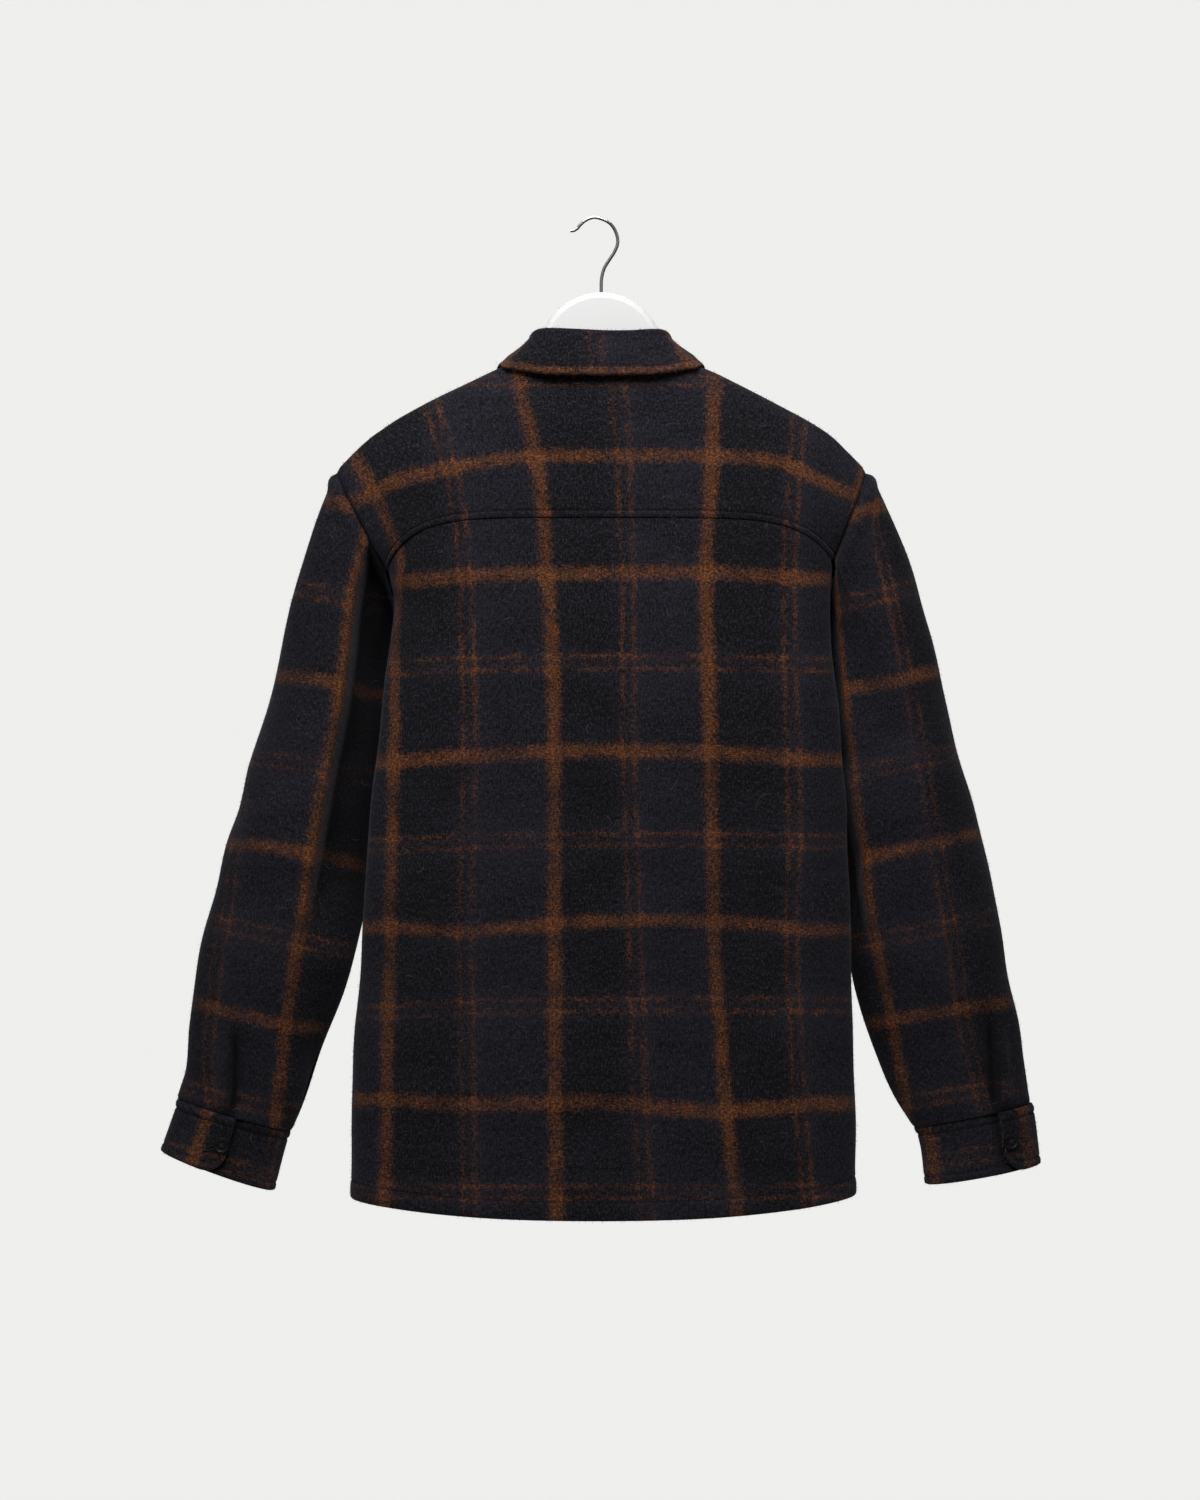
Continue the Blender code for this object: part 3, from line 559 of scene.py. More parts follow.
def makeNap(label, seed):
    draw = np.random.default_rng(seed)
    count = min(int(gridArea(cloths[label]["points"]) * nap["perSquareMetre"]), nap["most"])
    deselectAll()
    bpy.ops.mesh.primitive_circle_add(vertices=3, radius=1, fill_type="NGON")
    blade = bpy.context.object
    for vertex, co in zip(blade.data.vertices, ((0, -0.5, 0), (0, 0.5, 0), (1, 0, 0))):
        vertex.co = co
    places, cuts, normal, down = onGrid(cloths[label], count, draw, nap["sparing"])
    lift = np.radians(draw.uniform(*nap["lift"], count))
    axes = hairAxes(normal, down, lift, draw.normal(0, nap["swing"], count))
    length = draw.uniform(*nap["length"], count)
    sizes = np.stack([length, np.full(count, nap["width"]), length], -1)
    cuts = cuts + draw.normal(0, nap["jitter"], cuts.shape)
    places = places - normal * nap["sunk"]
    return repeated(label + "Nap", blade, places, axes, sizes, cuts, woolCloth)


strays = {
    "perSquareMetre": 420,
    "length": (0.004, 0.013),
    "width": 0.00018,
    "lift": (-2, 10),
    "swing": 2.6,
    "height": 0.0009,
    "curl": (0.10, 0.45),     # of the length
    "bow": 0.0016,
}


def makeStrays(label, seed):
    # Long pale hairs that have worked loose and curl over the cloth
    draw = np.random.default_rng(seed)
    count = int(gridArea(cloths[label]["points"]) * strays["perSquareMetre"])
    deselectAll()
    bpy.ops.mesh.primitive_grid_add(x_subdivisions=7, y_subdivisions=1, size=1)
    strand = bpy.context.object
    places, cuts, normal, down = onGrid(cloths[label], count, draw)
    lift = np.radians(draw.uniform(*strays["lift"], count))
    axes = hairAxes(normal, down, lift, draw.uniform(-strays["swing"], strays["swing"], count))
    length = draw.uniform(*strays["length"], count)
    sizes = np.stack([length, np.full(count, strays["width"]), length], -1)
    above = places + normal * strays["height"]
    made = repeated(label + "LooseHairs", strand, above, axes, sizes, cuts, paleHair)
    co = np.zeros(len(made.data.vertices) * 3, np.float32)
    made.data.vertices.foreach_get("co", co)
    each = co.reshape(count, -1, 3)
    start = (places + [garment["x"], 0, 0])[:, None]
    length = length[:, None, None]
    reach = ((each - start) * axes[:, None, 0]).sum(-1, keepdims=True) / length
    curl = draw.uniform(*strays["curl"], (count, 1, 1)) * draw.choice([-1, 1], (count, 1, 1)) * length
    bend = 1 - 4 * reach**2     # none at the ends
    each = each + axes[:, None, 1] * curl * bend + normal[:, None] * strays["bow"] * bend
    made.data.vertices.foreach_set("co", each.astype(np.float32).ravel())
    made.data.update()
    return made


stitch = {"length": 0.0030, "gap": 0.0010, "width": 0.00055, "sunk": 0.0004}


def makeStitches(name, rows):
    # Short thread beads in rows, each row a line of points and the cloth's normals there
    spots, axes = [], []
    for line, normals in rows:
        steps = np.linalg.norm(np.diff(line, axis=0), axis=1)
        walk = np.concatenate([[0], np.cumsum(steps)])
        at = np.arange(stitch["length"], walk[-1] - stitch["length"], stitch["length"] + stitch["gap"])
        spot = np.stack([np.interp(at, walk, line[:, k]) for k in range(3)], -1)
        ahead = np.stack([np.interp(at + 0.001, walk, line[:, k]) for k in range(3)], -1)
        up = unit(np.stack([np.interp(at, walk, normals[:, k]) for k in range(3)], -1))
        way = unit(ahead - spot)
        across = unit(np.cross(up, way))
        spots.append(spot - up * stitch["sunk"])
        axes.append(np.stack([way, across, np.cross(way, across)], axis=1))
    places, axes = np.concatenate(spots), np.concatenate(axes)
    deselectAll()
    bpy.ops.mesh.primitive_uv_sphere_add(segments=6, ring_count=4, radius=0.5)
    bpy.ops.object.shade_smooth()
    bead = bpy.context.object
    bead.data.transform(Matrix.Rotation(math.radians(90), 4, "Y"))
    sizes = np.tile([stitch["length"], stitch["width"], stitch["width"]], (len(places), 1))
    return repeated(name, bead, places, axes, sizes, None, darkThread)


def lineAt(cloth, wanted):
    # The line across a cloth at one distance from its last row, and the normals along it
    points = cloth["points"]
    down = walked(points, 0)
    toFoot = down[-1] - down
    normals = facing(points, cloth["outward"])
    line, up = [], []
    for j in range(points.shape[1]):
        order = np.argsort(toFoot[:, j])
        line.append([np.interp(wanted, toFoot[order, j], points[order, j, k]) for k in range(3)])
        up.append([np.interp(wanted, toFoot[order, j], normals[order, j, k]) for k in range(3)])
    return np.array(line), unit(np.array(up))


# Materials

def nodeGroup(name, outputs):
    # A group that reads the cut and puts out values
    group = bpy.data.node_groups.new(name, "ShaderNodeTree")
    group.interface.new_socket(name="Cut", in_out="INPUT", socket_type="NodeSocketVector")
    for label in outputs:
        group.interface.new_socket(name=label, in_out="OUTPUT", socket_type="NodeSocketFloat")
    return group, group.nodes.new("NodeGroupInput"), group.nodes.new("NodeGroupOutput")


def setInputs(node, values):
    for name, value in values.items():
        node.inputs[name].default_value = value


def feed(tree, socket, value):
    if isinstance(value, (int, float)):
        socket.default_value = value
    elif isinstance(value, tuple):
        socket.default_value = (*value, 1)
    else:
        tree.links.new(value, socket)


def maths(tree, operation, *values, clamp=False):
    node = tree.nodes.new("ShaderNodeMath")
    node.operation, node.use_clamp = operation, clamp
    for socket, value in zip(node.inputs, values):
        feed(tree, socket, value)
    return node.outputs[0]


def plus(tree, first, second, clamp=False):
    return maths(tree, "ADD", first, second, clamp=clamp)


def minus(tree, first, second):
    return maths(tree, "SUBTRACT", first, second)


def times(tree, first, second, clamp=False):
    return maths(tree, "MULTIPLY", first, second, clamp=clamp)


def scaled(tree, value, gain, base):
    return plus(tree, base, times(tree, value, gain))


def centred(tree, value, gain):
    return times(tree, minus(tree, value, 0.5), gain)


def noise(tree, vector, scale, detail=2.0, stretch=(1, 1, 1), roughness=0.5):
    mapping = tree.nodes.new("ShaderNodeMapping")
    mapping.inputs["Scale"].default_value = stretch
    tree.links.new(vector, mapping.inputs["Vector"])
    node = tree.nodes.new("ShaderNodeTexNoise")
    setInputs(node, {"Scale": scale, "Detail": detail, "Roughness": roughness})
    tree.links.new(mapping.outputs["Vector"], node.inputs["Vector"])
    return node.outputs["Fac"]


def blend(tree, share, first, second):
    node = tree.nodes.new("ShaderNodeMix")
    node.data_type = "RGBA"
    for place, value in ((0, share), (6, first), (7, second)):
        feed(tree, node.inputs[place], value)
    return node.outputs[2]


def ramp(tree, value, low, high):
    node = tree.nodes.new("ShaderNodeMapRange")
    node.interpolation_type = "SMOOTHSTEP"
    setInputs(node, {"From Min": low, "From Max": high})
    tree.links.new(value, node.inputs["Value"])
    return node.outputs["Result"]


def near(tree, gap, full, none):
    # 1 up to the first distance and 0 from the second on
    return minus(tree, 1.0, ramp(tree, gap, full, none))


def newMaterial(name):
    made = bpy.data.materials.new(name)
    made.use_nodes = True
    return made, made.node_tree, made.node_tree.nodes["Principled BSDF"]


def bumped(tree, shader, height, strength, distance):
    bump = tree.nodes.new("ShaderNodeBump")
    setInputs(bump, {"Strength": strength, "Distance": distance})
    tree.links.new(height, bump.inputs["Height"])
    tree.links.new(bump.outputs["Normal"], shader.inputs["Normal"])


wool = {
    "shade": (0.0027, 0.0028, 0.0029),
    "light": (0.0122, 0.0112, 0.0166),
    "groundFrom": (0.455, 0.58),     # the fleck at which the ground turns from shade to light
    "glint": (0.053, 0.052, 0.063),
    "glintFrom": (0.54, 0.64),
    "glintShare": 0.22,
    "over": 0.42,          # pale hairs over everything, rust too
    "overFrom": (0.55, 0.64),
    "rustDark": (0.056, 0.0205, 0.0100),
    "rustLight": (0.230, 0.077, 0.0220),
    "rustSpan": 0.150,     # how much farther down the dyed hairs show in a strong line
    "rustFrom": (0.575, 0.655),
    "rustHairs": 0.36,
    "rustUnder": 0.195,
    "rustFleck": 4.5,
    # the painted shade's colour in seams, stitch grooves, slits and recesses, and how much of it shows
    "pressed": (0.0022, 0.0022, 0.0026),
    "pressedShare": 0.45,
    "roughness": (0.86, 0.14),     # the least, and what the fleck adds
    "bump": (0.7, 0.0011),
}

# The check's lines, in metres from their middle: where each starts to fade, and where it has gone
lines = {
    "strong": (0.0022, 0.0104),
    "faintGap": 0.0055,     # from the middle of the double line to each of its two
    "faint": (0.0006, 0.0034),
    "faintShare": 0.44,
    "veil": (0.004, 0.0115),     # thin rust between the two
    "veilShare": 0.10,
    "haze": (0.008, 0.024),      # greyer ground by them
    "fuzzy": 0.0062,
}


def gapTo(tree, place, repeat, offset):
    # Distance to the nearest line
    turn = maths(tree, "FRACT", plus(tree, maths(tree, "DIVIDE", place, repeat), offset))
    return times(tree, maths(tree, "ABSOLUTE", minus(tree, turn, 0.5)), repeat)


def makeCheckGroup():
    # How much rust there is, the lighter ground beside each strong line and the grey by the faint ones
    group, entry, leave = nodeGroup("windowpane check", ("Rust", "Light", "Haze"))
    cut = entry.outputs["Cut"]
    split = group.nodes.new("ShaderNodeSeparateXYZ")
    group.links.new(cut, split.inputs[0])
    wander = centred(group, noise(group, cut, 95, 2), lines["fuzzy"])
    worn = ramp(group, noise(group, cut, 38, 2, roughness=0.6), 0.28, 0.66)
    faded = ramp(group, noise(group, cut, 5.5, 1), 0.30, 0.62)
    rusts, hazes = [], []
    for axis, repeat, streak in (("X", check["across"], (1, 0.4, 1)), ("Y", check["along"], (0.5, 1, 1))):
        shift = centred(group, noise(group, cut, 620, 3, streak, 0.7), lines["fuzzy"] * 2.6)
        place = plus(group, split.outputs[axis], plus(group, shift, wander))
        strongGap, faintGap = (gapTo(group, place, repeat, offset) for offset in (0.5, 0.0))
        double = maths(group, "ABSOLUTE", minus(group, faintGap, lines["faintGap"]))
        faint = times(group, near(group, double, *lines["faint"]), lines["faintShare"])
        faint = times(group, faint, scaled(group, worn, 1.5, 0.05))
        veil = times(group, near(group, faintGap, *lines["veil"]), lines["veilShare"])
        strong = times(group, near(group, strongGap, *lines["strong"]), scaled(group, worn, 0.55, 0.62))
        whole = plus(group, strong, plus(group, faint, veil))
        rusts.append(times(group, whole, scaled(group, faded, 0.34, 0.72)))
        hazes.append(near(group, faintGap, *lines["haze"]))
    group.links.new(plus(group, *rusts), leave.inputs["Rust"])
    group.links.new(times(group, plus(group, *hazes), 0.5), leave.inputs["Haze"])
    turn = maths(group, "FRACT", maths(group, "DIVIDE", split.outputs["X"], check["across"]))
    rise, fall = ramp(group, turn, 0.47, 0.56), ramp(group, turn, 0.965, 1.0)
    group.links.new(minus(group, rise, fall), leave.inputs["Light"])
    return group


def makeNapGroup():
    # Hairs lying over the cloth, in flecks, hues and broad patches, the dyed ones, and a height for the bump
    group, entry, leave = nodeGroup("brushed nap", ("Fleck", "Hue", "Patches", "Over", "Dyed", "Height"))
    cut = entry.outputs["Cut"]
    hairs = noise(group, cut, 600, 4, (1, 0.38, 1), 0.78)
    crossHairs = noise(group, cut, 640, 4, (0.3, 1, 1), 0.75)
    fleck = plus(group, times(group, hairs, 0.62), times(group, crossHairs, 0.38))
    dyedHairs = noise(group, cut, 760, 4, (1, 0.5, 1), 0.8)
    dyedCross = noise(group, cut, 740, 4, (0.45, 1, 1), 0.8)
    broad, bands = noise(group, cut, 26, 3, (0.45, 1, 1), 0.6), noise(group, cut, 150, 2, (0.12, 1, 1))
    clumps = noise(group, cut, 190, 3, roughness=0.6)
    for name, value in (
        ("Fleck", fleck),
        ("Hue", noise(group, cut, 620, 3, (0.6, 1, 1), 0.7)),
        ("Over", noise(group, cut, 700, 3, (1, 0.5, 1), 0.7)),
        ("Dyed", times(group, plus(group, dyedHairs, dyedCross), 0.5)),
        ("Patches", plus(group, times(group, broad, 0.6), times(group, bands, 0.4))),
        ("Height", plus(group, times(group, fleck, 0.75), times(group, clumps, 0.7))),
    ):
        group.links.new(value, leave.inputs[name])
    return group


def makeWool():
    made, tree, shader = newMaterial("brushed check wool")
    cutMap = tree.nodes.new("ShaderNodeUVMap")
    cutMap.uv_map = "cut"
    pattern, hairs = (tree.nodes.new("ShaderNodeGroup") for _ in range(2))
    pattern.node_tree, hairs.node_tree = makeCheckGroup(), makeNapGroup()
    for node in (pattern, hairs):
        tree.links.new(cutMap.outputs["UV"], node.inputs["Cut"])
    rusty, light, haze = (pattern.outputs[name] for name in ("Rust", "Light", "Haze"))
    fleck, patches, hue = (hairs.outputs[name] for name in ("Fleck", "Patches", "Hue"))
    lift = plus(tree, times(tree, light, 0.042), times(tree, haze, 0.045))
    lift = plus(tree, lift, centred(tree, patches, 0.22))
    lift = plus(tree, lift, centred(tree, hue, 0.12))
    ground = ramp(tree, plus(tree, fleck, lift), *wool["groundFrom"])
    ground = blend(tree, ground, wool["shade"], wool["light"])
    glint = ramp(tree, plus(tree, fleck, times(tree, lift, 0.5)), *wool["glintFrom"])
    ground = blend(tree, times(tree, glint, wool["glintShare"]), ground, wool["glint"])

    dyed = plus(tree, hairs.outputs["Dyed"], times(tree, rusty, wool["rustSpan"]))
    onLines = times(tree, ramp(tree, rusty, 0.02, 0.12), wool["rustHairs"])
    onTop = times(tree, ramp(tree, dyed, *wool["rustFrom"]), onLines)
    speckle = centred(tree, fleck, wool["rustFleck"])
    under = times(tree, rusty, plus(tree, wool["rustUnder"], speckle), clamp=True)
    rust = blend(tree, ramp(tree, hue, 0.38, 0.62), wool["rustDark"], wool["rustLight"])
    colour = blend(tree, plus(tree, onTop, under, clamp=True), ground, rust)

    over = times(tree, ramp(tree, hairs.outputs["Over"], *wool["overFrom"]), wool["over"])
    colour = blend(tree, over, colour, wool["glint"])
    # Painted shade: the cloth's attribute darkens it in seams, stitch grooves, slits and recesses
    mark = tree.nodes.new("ShaderNodeAttribute")
    mark.attribute_name = "pressed"
    dark = times(tree, mark.outputs["Fac"], wool["pressedShare"], clamp=True)
    tree.links.new(blend(tree, dark, colour, wool["pressed"]), shader.inputs["Base Color"])
    least, more = wool["roughness"]
    tree.links.new(scaled(tree, fleck, more, least), shader.inputs["Roughness"])
    bumped(tree, shader, hairs.outputs["Height"], *wool["bump"])
    setInputs(shader, {
        "Specular IOR Level": 0.10,
        "Sheen Weight": 0.08,
        "Sheen Roughness": 0.45,
        "Sheen Tint": (0.75, 0.78, 0.9, 1),
    })
    return made


def plainMaterial(
    name, colour, roughness, metallic=0.0, bumpScale=900, bumpDepth=0.00004, change=0.08, specular=0.5
):
    # One colour, a little uneven in tone and gloss, with a fine bump
    made, tree, shader = newMaterial(name)
    place = tree.nodes.new("ShaderNodeTexCoord").outputs["Object"]
    fine, broad = noise(tree, place, bumpScale, 3), noise(tree, place, 40, 3)
    darker = tuple(c * (1 - change) for c in colour)
    tree.links.new(blend(tree, broad, darker, colour), shader.inputs["Base Color"])
    tree.links.new(scaled(tree, broad, 0.12, roughness - 0.06), shader.inputs["Roughness"])
    setInputs(shader, {"Metallic": metallic, "Specular IOR Level": specular})
    bumped(tree, shader, fine, 0.3, bumpDepth)
    return made


woolCloth = makeWool()
paleHair = plainMaterial("pale stray hair", (0.105, 0.10, 0.11), 0.7, change=0.75)
darkThread = plainMaterial(
    "navy sewing thread", (0.0045, 0.0045, 0.0058), 0.8, bumpScale=2500, bumpDepth=0.0001, change=0.3
)
print("wool made")


# Forms of the panels

def body(turn, z, side):
    halfWidth = along(bodyForm, "z", z, "halfWidth")
    backDepth, frontDepth = (along(bodyForm, "z", z, column) for column in ("backDepth", "frontDepth"))
    depth = np.where(np.cos(turn) > 0, backDepth, frontDepth)
    off = np.clip(np.abs(turn - garment["dentMiddle"]) / garment["dentReach"], 0, 1)
    dent = along(bodyForm, "z", z, "dent") * np.cos(off * math.pi / 2) ** 2
    x = halfWidth * power(np.sin(turn), garment["squareness"]) - dent
    y = -depth * power(np.cos(turn), garment["squareness"])
    return np.stack([side * x + along(bodyForm, "z", z, "shift"), y, z], -1)


def lifted(z, turn, side):
    share = np.maximum((garment["underarmZ"] - z) / (garment["underarmZ"] - garment["hemZ"]), 0)
    return z + garment["hemRise"][side] * share**2 * np.abs(np.sin(turn)) ** 1.8


def neckRing(turn, side, halfWidth, backZ, sideZ, frontZ):
    x = side * halfWidth * power(np.sin(turn), neck["squareness"])
    behind = turn < math.pi / 2
    y = -np.where(behind, neck["back"], neck["front"]) * np.cos(turn)
    drop = np.maximum(np.sin(turn - math.pi / 2), 0) ** 1.5
    z = np.where(behind, backZ + (sideZ - backZ) * np.sin(turn) ** 2, sideZ + (frontZ - sideZ) * drop)
    return np.stack([x, y, z], -1)


def neckline(turn, side):
    return neckRing(turn, side, neck["halfWidth"], neck["backZ"], neck["pointZ"], neck["frontZ"])


def standTop(turn, side):
    ring = neckRing(turn, side, stand["halfWidth"], stand["backZ"], stand["sideZ"], stand["frontZ"])
    ring[..., 2] -= stand["sideDrop"] * hump(turn - 1.62, 0.36)
    return ring


def away(curve, turn, side):
    step = 1e-3
    tangent = curve(turn + step, side) - curve(turn - step, side)
    return unit(np.stack([tangent[..., 1], -tangent[..., 0], 0 * tangent[..., 0]], -1) * side)


def shoulder(share, side):
    x = shoulderLine["x"][0] + share * (shoulderLine["x"][-1] - shoulderLine["x"][0])
    return np.stack([side * x, 0 * x, along(shoulderLine, "x", x, "z")], -1)


def topRows(tops, bottoms, edgeRows, side, turns):
    # Each path leaves the shoulder level and turns down, like a quarter of an ellipse
    share = 1 - np.cos(turns)
    eased = np.stack([share, np.sin(turns), share], -1)[:, None, :]
    rows = tops[None] + (bottoms - tops)[None] * eased
    endError = bottoms[-1] - placed(edgeRows, "share", 1.0, side)
    miss = placed(edgeRows, "share", share, side) + endError * share[:, None] - rows[:, -1]
    pull = np.linspace(0, 1, len(tops)) ** 3
    return rows + miss[:, None] * pull[None, :, None]


detail = {"finer": 6, "step": 0.0042, "lapSteps": 8}
neckSteps, shoulderSteps = 5 * detail["finer"], 7 * detail["finer"]
chestRow = 43     # of the fronts' grids
quarter = math.pi / 2
sides = (-1, 1)
sideNames = {-1: "left", 1: "right"}     # the wearer's


def armholeLevels():
    return stations(
        garment["yokeZ"], garment["underarmZ"], detail["step"], (garment["yokeZ"] - 0.004, 0.004, 0.0009)
    )


def backHalf(side):
    level = np.concatenate([armholeLevels()[:-1], sideLevels()])[:, None]
    fade = np.clip((level - garment["underarmZ"]) / (garment["yokeZ"] - garment["underarmZ"]), 0, 1)
    drop = garment["yokeDrop"][side] * fade
    limit = np.radians(along(backArmhole, "z", level - drop, "turn"))
    turn = limit * np.linspace(0, 1, neckSteps + shoulderSteps + 1)[None] ** garment["columnBias"]
    reach = (np.sin(turn) / np.sin(limit)) ** garment["squareness"]
    return body(turn, lifted(level - drop * reach ** garment["yokeBend"], turn, side), side)


def sideLevels():
    hem = garment["hemZ"]
    return stations(
        garment["underarmZ"], hem, detail["step"],
        (hem + garment["hemDepth"], 0.004, 0.0008), (hem + 0.003, 0.003, 0.0006),
    )


def whole(halves):
    return np.concatenate([halves[-1][:, :0:-1], halves[1]], axis=1)


def lapTurn(halfWidth, exponent):
    return np.arcsin((garment["overlap"] / halfWidth) ** (1 / exponent))


def frontRows(z, limit, side):
    z, limit = z[:, None], limit[:, None]
    lap = lapTurn(along(bodyForm, "z", z, "halfWidth"), garment["squareness"])
    reach = math.pi - limit
    start = (lap / reach) ** (1 / garment["columnBias"])
    spread = np.linspace(0, 1, 4 * detail["finer"] + shoulderSteps + 1)[None]
    turns = np.concatenate([
        math.pi + lap * (1 - 2 * np.arange(detail["lapSteps"])[None] / detail["lapSteps"]),
        math.pi - reach * (start + (1 - start) * spread) ** garment["columnBias"],
    ], axis=1)
    return body(turns, lifted(z, turns, side), side)


def front(side):
    lap = lapTurn(neck["halfWidth"], neck["squareness"])
    count = 4 * detail["finer"]
    turns = np.concatenate([
        math.pi + lap * (1 - 2 * np.arange(detail["lapSteps"]) / detail["lapSteps"]),
        math.pi - lap - (quarter - lap) * np.arange(count) / count,
    ])
    tops = np.concatenate([neckline(turns, side), shoulder(np.linspace(0, 1, shoulderSteps + 1), side)])
    chest = stations(garment["chestZ"], garment["underarmZ"], detail["step"])[:-1]
    upper = frontRows(chest, np.radians(along(frontArmhole, "z", chest, "turn")), side)
    sideRows = sideLevels()
    lower = frontRows(sideRows, np.full(len(sideRows), garment["sideSeam"]), side)
    rows = topRows(tops, upper[0], chestEdge, side, np.linspace(0, quarter, chestRow + 1))
    return np.concatenate([rows, upper[1:], lower]), len(rows) + len(upper) - 1


def yokeHalf(side, seamRow):
    tops = np.concatenate([
        neckline(quarter * np.arange(neckSteps) / neckSteps, side),
        shoulder(np.linspace(0, 1, shoulderSteps + 1), side),
    ])
    bend = quarter - 0.11     # rows lie closer past it, by the seam
    turns = np.concatenate([np.linspace(0, bend, 40)[:-1], np.linspace(bend, quarter, 22)])
    return topRows(tops, seamRow, yokeEdge, side, turns)


def sleeveRing(length, angles, side):
    rows = sleeveForm[side]
    level = {name: np.asarray(along(rows, "length", length, name))[..., None] for name in rows}
    tilt = np.radians(level["tilt"])
    c, s = np.cos(angles), np.sin(angles)
    wide = level["halfWidth"] * c
    x = side * level["x"] + side * np.cos(tilt) * wide
    z = level["z"] + np.sin(tilt) * wide
    y = level["y"] - level["halfDepth"] * s
    return np.stack(np.broadcast_arrays(x, y, z), -1)


sleeveHead = {"topLeaving": {-1: 0.32, 1: 0.49}, "underLeaving": 0.30, "rows": 74, "step": 0.0040}
cuffLine = 0.321     # how far down the sleeve's form its cuff starts


def sleeveForms(loop, angles, side):
    # Rings from the armhole to the wrist, each from the underarm up the front and down the back
    biceps, below = sleeveRing(0.0, angles, side), sleeveRing(0.01, angles, side)
    share = stations(0, 1, 1 / sleeveHead["rows"], (0.012, 0.012, 0.004))[:-1, None, None]
    stretch = np.linalg.norm(biceps - loop, axis=-1)[:, None]
    under = sleeveHead["underLeaving"]
    outward = under + (sleeveHead["topLeaving"][side] - under) * (1 + np.cos(angles)) / 2
    forward = 0.3 * np.maximum(-np.sin(angles), 0)
    leaving = np.stack([side * outward, forward, np.full(len(angles), -0.75)], -1)
    leaving = unit(leaving) * stretch
    joining = unit(below - biceps) * stretch
    head = hermite(share, loop, biceps, leaving, joining)
    lengths = stations(0, cuffLine, sleeveHead["step"], (cuffLine - 0.002, 0.002, 0.0006))
    return np.concatenate([head, sleeveRing(lengths, angles, side)])


backGrids = {side: backHalf(side) for side in sides}
yokeGrid = whole({side: yokeHalf(side, backGrids[side][0]) for side in sides})
backGrid = whole(backGrids)
fronts = {side: front(side) for side in sides}
print("forms laid out")

# Back yoke
yokeLook = {"stitchLine": 0.0062, "puff": 0.0008, "groove": 0.0008, "flat": (0.50, 0.20), "wave": 0.0004}


def lineOffsets(grid, rows, key, names):
    x, z = seen(grid)
    across, at = (x, z) if key == "z" else (z, x)
    return [across - along(rows, key, at, name) for name in names]


def checkAcross(grid):
    offsets = lineOffsets(grid, backLines, "z", [f"line{n}" for n in range(-2, 4)])
    lines = [(offset, n * check["across"] / 2) for n, offset in zip(range(-2, 4), offsets)]
    return checkPlaces(walked(grid, 1), lines)


def checkDown(grid, offsets, values):
    lines = [(offset.T, value) for offset, value in zip(offsets, values)]
    return checkPlaces(walked(grid, 0).T, lines, -1).T


def makeYoke():
    strong = lineOffsets(yokeGrid, yokeBand, "x", ["z"])[0]
    faint = seen(yokeGrid)[1] - yokeFaintZ
    cut = np.stack([checkAcross(yokeGrid), checkDown(yokeGrid, [faint, strong], [check["along"] / 2, 0])], -1)
    down, across = walked(yokeGrid, 0), walked(yokeGrid, 1)
    toSeam, toTop = down[-1] - down, down
    toSides = toBothEnds(across)
    middle = neckSteps + shoulderSteps
    shoulderPart = (np.abs(np.arange(yokeGrid.shape[1]) - middle) > neckSteps)[None]
    height = stitched(toSeam, yokeLook["stitchLine"], yokeLook["puff"], yokeLook["groove"])
    height = height + seam(toSides) + seam(toTop) * shoulderPart
    height += unevenness(cut, yokeLook["wave"], 3) * ease(toSeam / 0.02) * ease(toSides / 0.03)
    height += folds(cut, (
        (-0.150, 0.010, -0.105, 0.075, -0.0016, 0.012),
        (0.185, 0.012, 0.150, 0.070, -0.0018, 0.013),
        (-0.180, -0.040, -0.120, -0.052, 0.0010, 0.012),
        (0.060, 0.100, 0.075, 0.020, 0.0008, 0.020),
    ))
    # Painted shade in the stitch groove along the yoke's seam
    pressed = hump(toSeam - yokeLook["stitchLine"], 0.0008)
    points = yokeGrid + facing(yokeGrid, -1) * height[..., None]
    return clothPiece("yoke", points, cut, -1, garment["ply"], "back_yoke", pressed=pressed)


yokeCloth = makeYoke()

# Back panel
backLook = {"tuck": 0.0007, "flat": (0.52, 0.64), "wave": 0.0007}


def hemShape(down):
    toHem = down[-1] - down
    return toHem, stitched(toHem, garment["hemDepth"], 0.0006, 0.0006) - curled(toHem, 0.0026)


def tucked(points, outward, depth=0.0034):
    # A panel's first row carried on a little under its neighbour
    back = unit(points[0] - points[1])
    return points[0] + back * depth - facing(points, outward)[0] * depth * 0.9


def hemWeights(toHem):
    return np.where(toHem < garment["hemDepth"] - 0.001, 1.0, 0.5)


